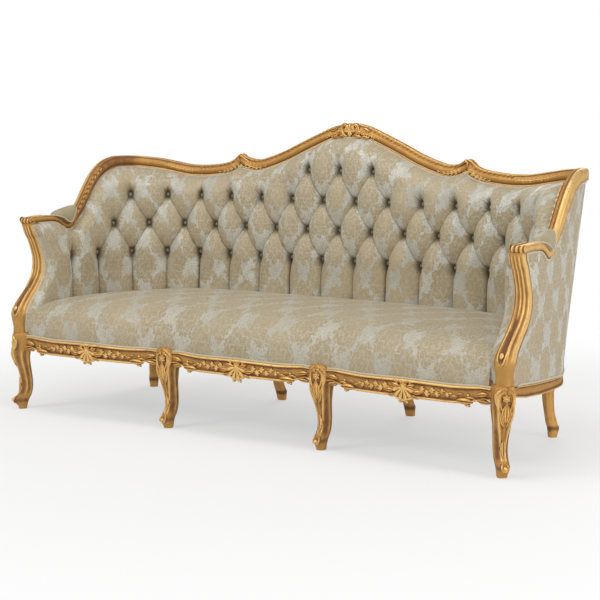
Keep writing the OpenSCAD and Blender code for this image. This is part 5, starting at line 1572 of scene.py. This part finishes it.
class SOFA_OT_outside_covers(PieceOperator):
    """The flat damask on the outside of the back and arms."""
    bl_idname = "sofa.outside_covers"
    bl_label = "Outside covers"

    def panel(self, f, name, u, node, leans=False):
        """A flat cover between two places. One that leans follows the stump at its end."""
        count, lean_at, inset, thick = 60, 25, 0.0006, 0.0012
        rows = np.linspace(0, 1, count)
        low, top = f.outside_low(u), f.wall_top(u)
        z = low[:, None] + (top - low)[:, None] * rows
        uu = np.repeat(u[:, None], count, 1)
        if leans:
            hand = np.sign(u[0])
            share = (np.abs(u) - lean_at) / (np.abs(u[-1]) - lean_at)
            lean = lean_at + share[:, None] * (f.end_place(z) - lean_at)
            uu = np.where(np.abs(uu) < lean_at, uu, hand * lean)
        outside = f.wall_point(uu, z, np.full(z.shape, inset))
        inside = f.wall_point(uu, z, np.full(z.shape, inset + thick))[:, ::-1]
        steps = np.linalg.norm(np.diff(outside[:, count // 2], axis=0), axis=1)
        across = np.concatenate([[0], np.cumsum(steps)])
        across -= across[-1] / 2 if not leans else 0
        cloth = np.zeros((len(u), 2 * count, 3))
        cloth[:, :, 0] = across[:, None]
        cloth[:, :count, 1], cloth[:, count:, 1] = z, z[:, ::-1]
        shape = Shape().tube(np.concatenate([outside, inside], 1), relief=0.7, cloth=cloth)
        obj = finished(shape.build(name, f, woven(), math.radians(60)), "damask", node)
        width, height = float(across[-1] - across[0]), float((top - low).max())
        return obj, width, height, area_of(outside)

    def execute(self, context):
        f = form()
        u = np.linspace(-SEAM_AT, SEAM_AT, 130)
        back, width, height, area = self.panel(f, "outside_back_stretched", u, "outside_back_cover")
        for end, hand in HANDS:
            u = hand * np.linspace(SEAM_AT + 0.02, COVER_END_AT, 90)
            side, width, height, area = self.panel(f, "outside_arm_stretched_" + end, u,
                                                   "outside_arm_cover_" + end, leans=True)
        return {"FINISHED"}


class SOFA_OT_dust_cover(PieceOperator):
    """The black cambric stretched under the seat, let in round the legs."""
    bl_idname = "sofa.dust_cover"
    bl_label = "Dust cover"

    def execute(self, context):
        f = form()
        rail_in, front_in, cross_rail, thick, drop = 0.0348, 0.0344, 0.044, 0.0008, 0.004
        count = LAST_AT - 2
        edge = f.wall_line[LAST_AT:LAST_AT + count]
        edge = edge + inward(f.wall_run(np.arange(count))) * rail_in
        x = np.linspace(-1, 1, 301) * edge[:, 0].max() * 0.985
        front = f.front_y(x) + front_in
        by_x = edge[:TURN_AT]
        back = np.interp(np.abs(x), by_x[:, 0], by_x[:, 1])
        r = f.s.block * 0.56

        def round_leg(leg_x):
            return np.sqrt(np.maximum(r ** 2 - (np.abs(x) - leg_x) ** 2, 0))
        for leg_x, leg_y in f.front_legs:
            near = round_leg(leg_x)
            front = np.where(near > 0, np.maximum(front, leg_y + near), front)
        for leg_x, leg_y in f.rear_legs:
            near = round_leg(leg_x)
            back = np.where(near > 0, np.minimum(back, leg_y - near), back)
        rows = np.linspace(0, 1, 40)
        y = front[:, None] + (back - front)[:, None] * rows
        sag = drop * np.sin(rows * math.pi)[None, :] * (1 - (x / x[-1]) ** 4)[:, None]
        top = f.rail_low + f.s.rail_face - cross_rail - SKIN_GAP
        xx = np.repeat(x[:, None], len(rows), 1)
        upper = np.stack([xx, y, top - sag], -1)
        lower = np.stack([xx, y, top - thick - sag], -1)[:, ::-1]
        shape = Shape().tube(np.concatenate([upper, lower], 1), relief=0.5)
        cover = finished(shape.build("dust_cover_stretched", f, black_cambric()), "cambric", "dust_cover")
        float(x[-1] - x[0])
        float(y.max() - y.min())
        return {"FINISHED"}


class SOFA_OT_gimp(PieceOperator):
    """Cream gimp over every edge where cloth meets the show wood."""
    bl_idname = "sofa.gimp"
    bl_label = "Gimp"

    def run_along(self, shape, f, points, outward, width=None):
        """A flat braid along the points, with two rows of loops."""
        width = width or f.s.gimp
        points = np.asarray(points, float)
        steps = np.concatenate([[0], np.cumsum(np.linalg.norm(np.diff(points, axis=0), axis=1))])
        step, loop = 0.0016, 0.0062
        count = max(8, int(steps[-1] / step))
        at = np.linspace(0, steps[-1], count)
        k = np.interp(at, steps, np.arange(len(points)))
        p = spline(points, k)
        out = np.broadcast_to(np.asarray(outward, float), points.shape)
        out = unit(np.stack([np.interp(k, np.arange(len(points)), out[:, i]) for i in range(3)], -1))
        run = unit(np.gradient(p, axis=0))
        side = unit(np.cross(run, out))
        out = np.cross(side, run)
        angle = np.linspace(0, 2 * math.pi, 10, endpoint=False)
        wave = np.sin(at * 2 * math.pi / loop)
        across, up = np.cos(angle), np.sin(angle)
        half = width / 2 * (1 + 0.12 * np.abs(wave))[:, None]
        high = width * 0.30 * (1 + 0.22 * wave[:, None] * np.sign(across)[None, :])
        grid = (p[:, None, :] + side[:, None, :] * (half * across)[..., None]
                + out[:, None, :] * (high * up)[..., None])
        relief = np.clip(0.5 + 0.5 * wave[:, None] * np.sign(across)[None, :], 0, 1)
        shape.tube(grid, relief=relief)

    def on_wall(self, shape, f, place, z):
        """A braid on the outside of the walls."""
        lift = np.full(len(place), -0.0008)
        self.run_along(shape, f, f.wall_point(place, z, lift), -inward(f.wall_run(place)))

    def execute(self, context):
        f, shape = form(), Shape()
        u = np.linspace(-GIMP_END_AT, GIMP_END_AT, 700)
        line = f.on_crest(u, 0.46 * f.s.crest_thick * f.fullness(u) + 0.0015, -f.face(u) - 0.0022)
        self.run_along(shape, f, line, inward(f.crest_run(u)))
        top = f.wall_top(np.array([GIMP_END_AT]))[0] - 0.004
        from_edge = 0.003
        for hand in (-1, 1):
            z = np.linspace(f.block_height + 0.002, top, 60)
            line = f.arm_front(z, hand) + [-hand * 0.0025, -0.0012, 0]
            self.run_along(shape, f, line, (-hand * 0.5, -1, 0))
            z = np.linspace(f.outside_low(np.array([COVER_END_AT]))[0] + from_edge, top, 60)
            self.on_wall(shape, f, hand * (f.end_place(z) - 0.04), z)
            place = hand * np.linspace(SEAM_AT + 0.1, COVER_END_AT, 260)
            self.on_wall(shape, f, place, f.outside_low(place) + from_edge)
            self.on_wall(shape, f, place, f.wall_top(place) - from_edge)
        place = np.linspace(-SEAM_AT, SEAM_AT, 500)
        self.on_wall(shape, f, place, f.wall_top(place) - from_edge)
        near, far, corner = f.leg_x()
        for start, end in ((-near, near), (far, corner), (-corner, -far)):
            x = np.linspace(start, end, 160)
            line = np.column_stack([x, f.front_y(x) + 0.0066, f.front_high(x) + 0.0030])
            self.run_along(shape, f, line, (0, -1, 0.2))
        self.pad_edges(shape, f)
        finished(shape.build("gimp_braids", f, cream(), math.radians(80)), "gimp", "seat_gimp")
        return {"FINISHED"}

    def pad_edges(self, shape, f):
        """A narrow braid round each arm pad."""
        guide = f.crest_line[LAST_AT + SHOULDER_AT:][::-1]
        t = np.linspace(0, 2 * math.pi, 120)
        y = f.depth * PAD_AT - np.cos(t) * (PAD_LENGTH / 2 + 0.001)
        rail = np.stack([np.interp(y, guide[:, 1], guide[:, i]) for i in (0, 2)], -1)
        smooth = f.crest(np.interp(y, guide[:, 1], np.arange(LAST_AT, SHOULDER_AT - 1, -1)))
        for hand in (-1, 1):
            line = np.column_stack([hand * (rail[:, 0] + np.sin(t) * 0.0335), y, smooth[:, 2] + 0.0025])
            out = np.column_stack([hand * np.sin(t), -np.cos(t), t * 0 + 0.6])
            self.run_along(shape, f, line, out, 0.0042)


class SOFA_OT_inside_frame(PieceOperator):
    """Finishes for the frame, springs, webbing and stuffing that stay from the CAD model."""
    bl_idname = "sofa.inside_frame"
    bl_label = "Frame and filling"

    def execute(self, context):
        finishes = hidden_finishes()
        slots = {s["node"]: s["material_slot"] for s in FRAME["record"]["subparts"]}
        for node, obj in FRAME["nodes"].items():
            if obj.hide_render:
                continue
            finish = finishes[slots[node]]
            if obj.material_slots:
                for slot in obj.material_slots:
                    slot.material = finish
            else:
                obj.data.materials.append(finish)
        return {"FINISHED"}


class SOFA_OT_studio(PieceOperator):
    """A pale floor, soft lights and the camera."""
    bl_idname = "sofa.studio"
    bl_label = "Studio"

    def lamp(self, name, place, size, power, target=(0, 0, 0.45), colour=(1, 1, 1)):
        light = bpy.data.lights.new(name, "AREA")
        light.shape, light.size, light.size_y = "RECTANGLE", size[0], size[1]
        light.energy, light.color = power, colour
        obj = bpy.data.objects.new(name, light)
        obj.location = place
        obj.rotation_euler = (Vector(target) - Vector(place)).to_track_quat("-Z", "Y").to_euler()
        bpy.context.scene.collection.objects.link(obj)

    def floor(self):
        mesh = bpy.data.meshes.new("floor")
        mesh.from_pydata([(-14, -14, 0), (14, -14, 0), (14, 14, 0), (-14, 14, 0)], [], [(0, 1, 2, 3)])
        finish = Finish("floor", Roughness=0.75)
        finish.shader.inputs["Base Color"].default_value = (0.86, 0.86, 0.86, 1)
        spot = finish.node("ShaderNodeVectorMath", {"operation": "LENGTH"}, {0: finish.position()}, out=1)
        rays = finish.node("ShaderNodeLightPath")
        seen = rays.most(rays.output("Is Glossy Ray"))
        glow = finish.node("ShaderNodeEmission", None, {"Color": (1, 1, 1, 1), "Strength": 1.0})
        lit = Value(finish, finish.shader.outputs[0])
        # The glow grows away from the sofa, so that its shadow stays on the floor round it
        share = (spot.step(0.9, 2.8) * 0.45 + 0.55) * seen
        mixed = finish.node("ShaderNodeMixShader", None, {0: share, 1: lit, 2: glow})
        output = next(n for n in finish.tree.nodes if n.type == "OUTPUT_MATERIAL")
        finish.tree.links.new(mixed.socket, output.inputs["Surface"])
        mesh.materials.append(finish.material)
        obj = bpy.data.objects.new("floor", mesh)
        bpy.context.scene.collection.objects.link(obj)

    def sky(self, scene):
        """White to the camera, and a plain soft light on the sofa."""
        world = bpy.data.worlds.new("studio")
        scene.world = world
        world.use_nodes = True
        tree = world.node_tree
        tree.nodes.clear()
        paths = tree.nodes.new("ShaderNodeLightPath")
        output = tree.nodes.new("ShaderNodeOutputWorld")
        seen, lights = tree.nodes.new("ShaderNodeBackground"), tree.nodes.new("ShaderNodeBackground")
        seen.inputs["Strength"].default_value = 1.0
        seen.inputs["Color"].default_value = (1, 1, 1, 1)
        lights.inputs["Strength"].default_value = 0.40
        lights.inputs["Color"].default_value = (1.0, 0.99, 0.97, 1)
        mix = tree.nodes.new("ShaderNodeMixShader")
        tree.links.new(paths.outputs["Is Camera Ray"], mix.inputs[0])
        tree.links.new(lights.outputs[0], mix.inputs[1])
        tree.links.new(seen.outputs[0], mix.inputs[2])
        tree.links.new(mix.outputs[0], output.inputs["Surface"])

    def execute(self, context):
        scene = context.scene
        scene.view_settings.view_transform = "Standard"
        self.floor()
        self.sky(scene)
        self.lamp("key", (-2.6, -4.2, 3.6), (2.2, 1.8), 88)
        self.lamp("fill", (4.2, -3.4, 1.8), (2.0, 2.0), 44)
        self.lamp("side", (4.3, -0.3, 1.7), (1.6, 2.2), 42, (1.0, 0.0, 0.45), (1, 0.98, 0.95))
        self.lamp("overhead", (0.2, -0.6, 3.6), (2.6, 1.4), 40)
        self.lamp("rim", (-1.0, 3.8, 2.6), (2.4, 1.2), 30)
        camera = bpy.data.cameras.new("camera")
        camera.lens, camera.sensor_width = 96.866, 36.0
        camera.clip_end = 60
        obj = bpy.data.objects.new("camera", camera)
        right, up = Vector((0.8323, 0.5544, 0)), Vector((-0.0701, 0.1053, 0.9920))
        back = Vector((0.5500, -0.8256, 0.1265))
        turn = Matrix((right, up, back)).transposed().to_4x4()
        obj.matrix_world = Matrix.Translation((3.3233, -4.9739, 1.2244)) @ turn
        scene.collection.objects.link(obj)
        scene.camera = obj
        return {"FINISHED"}


OPERATORS = (SOFA_OT_show_wood, SOFA_OT_stumps, SOFA_OT_front_legs, SOFA_OT_rear_legs, SOFA_OT_seat_rails,
             SOFA_OT_inside_cover, SOFA_OT_seat, SOFA_OT_arm_pads, SOFA_OT_outside_covers,
             SOFA_OT_dust_cover, SOFA_OT_gimp, SOFA_OT_inside_frame, SOFA_OT_studio)


class SOFA_PT_panel(Panel):
    """The sofa's sizes, colours and pieces."""
    bl_label = "Cabriole sofa"
    bl_idname = "SOFA_PT_panel"
    bl_space_type = "VIEW_3D"
    bl_region_type = "UI"
    bl_category = "Sofa"

    def draw(self, context):
        for group in (context.scene.sofa_sizes, context.scene.sofa_colours):
            column = self.layout.column(align=True)
            for name in group.__annotations__:
                column.prop(group, name)
        column = self.layout.column(align=True)
        for operator in OPERATORS:
            column.operator(operator.bl_idname)


CLASSES = (SofaSizes, SofaColours) + OPERATORS + (SOFA_PT_panel,)


def register():
    for made in CLASSES:
        bpy.utils.register_class(made)
    bpy.types.Scene.sofa_sizes = PointerProperty(type=SofaSizes)
    bpy.types.Scene.sofa_colours = PointerProperty(type=SofaColours)


def unregister():
    del bpy.types.Scene.sofa_colours
    del bpy.types.Scene.sofa_sizes
    for made in reversed(CLASSES):
        bpy.utils.unregister_class(made)


def main():
    register()
    for operator in OPERATORS:
        group, name = operator.bl_idname.split(".")
        getattr(getattr(bpy.ops, group), name)()


if __name__ == "__main__":
    main()
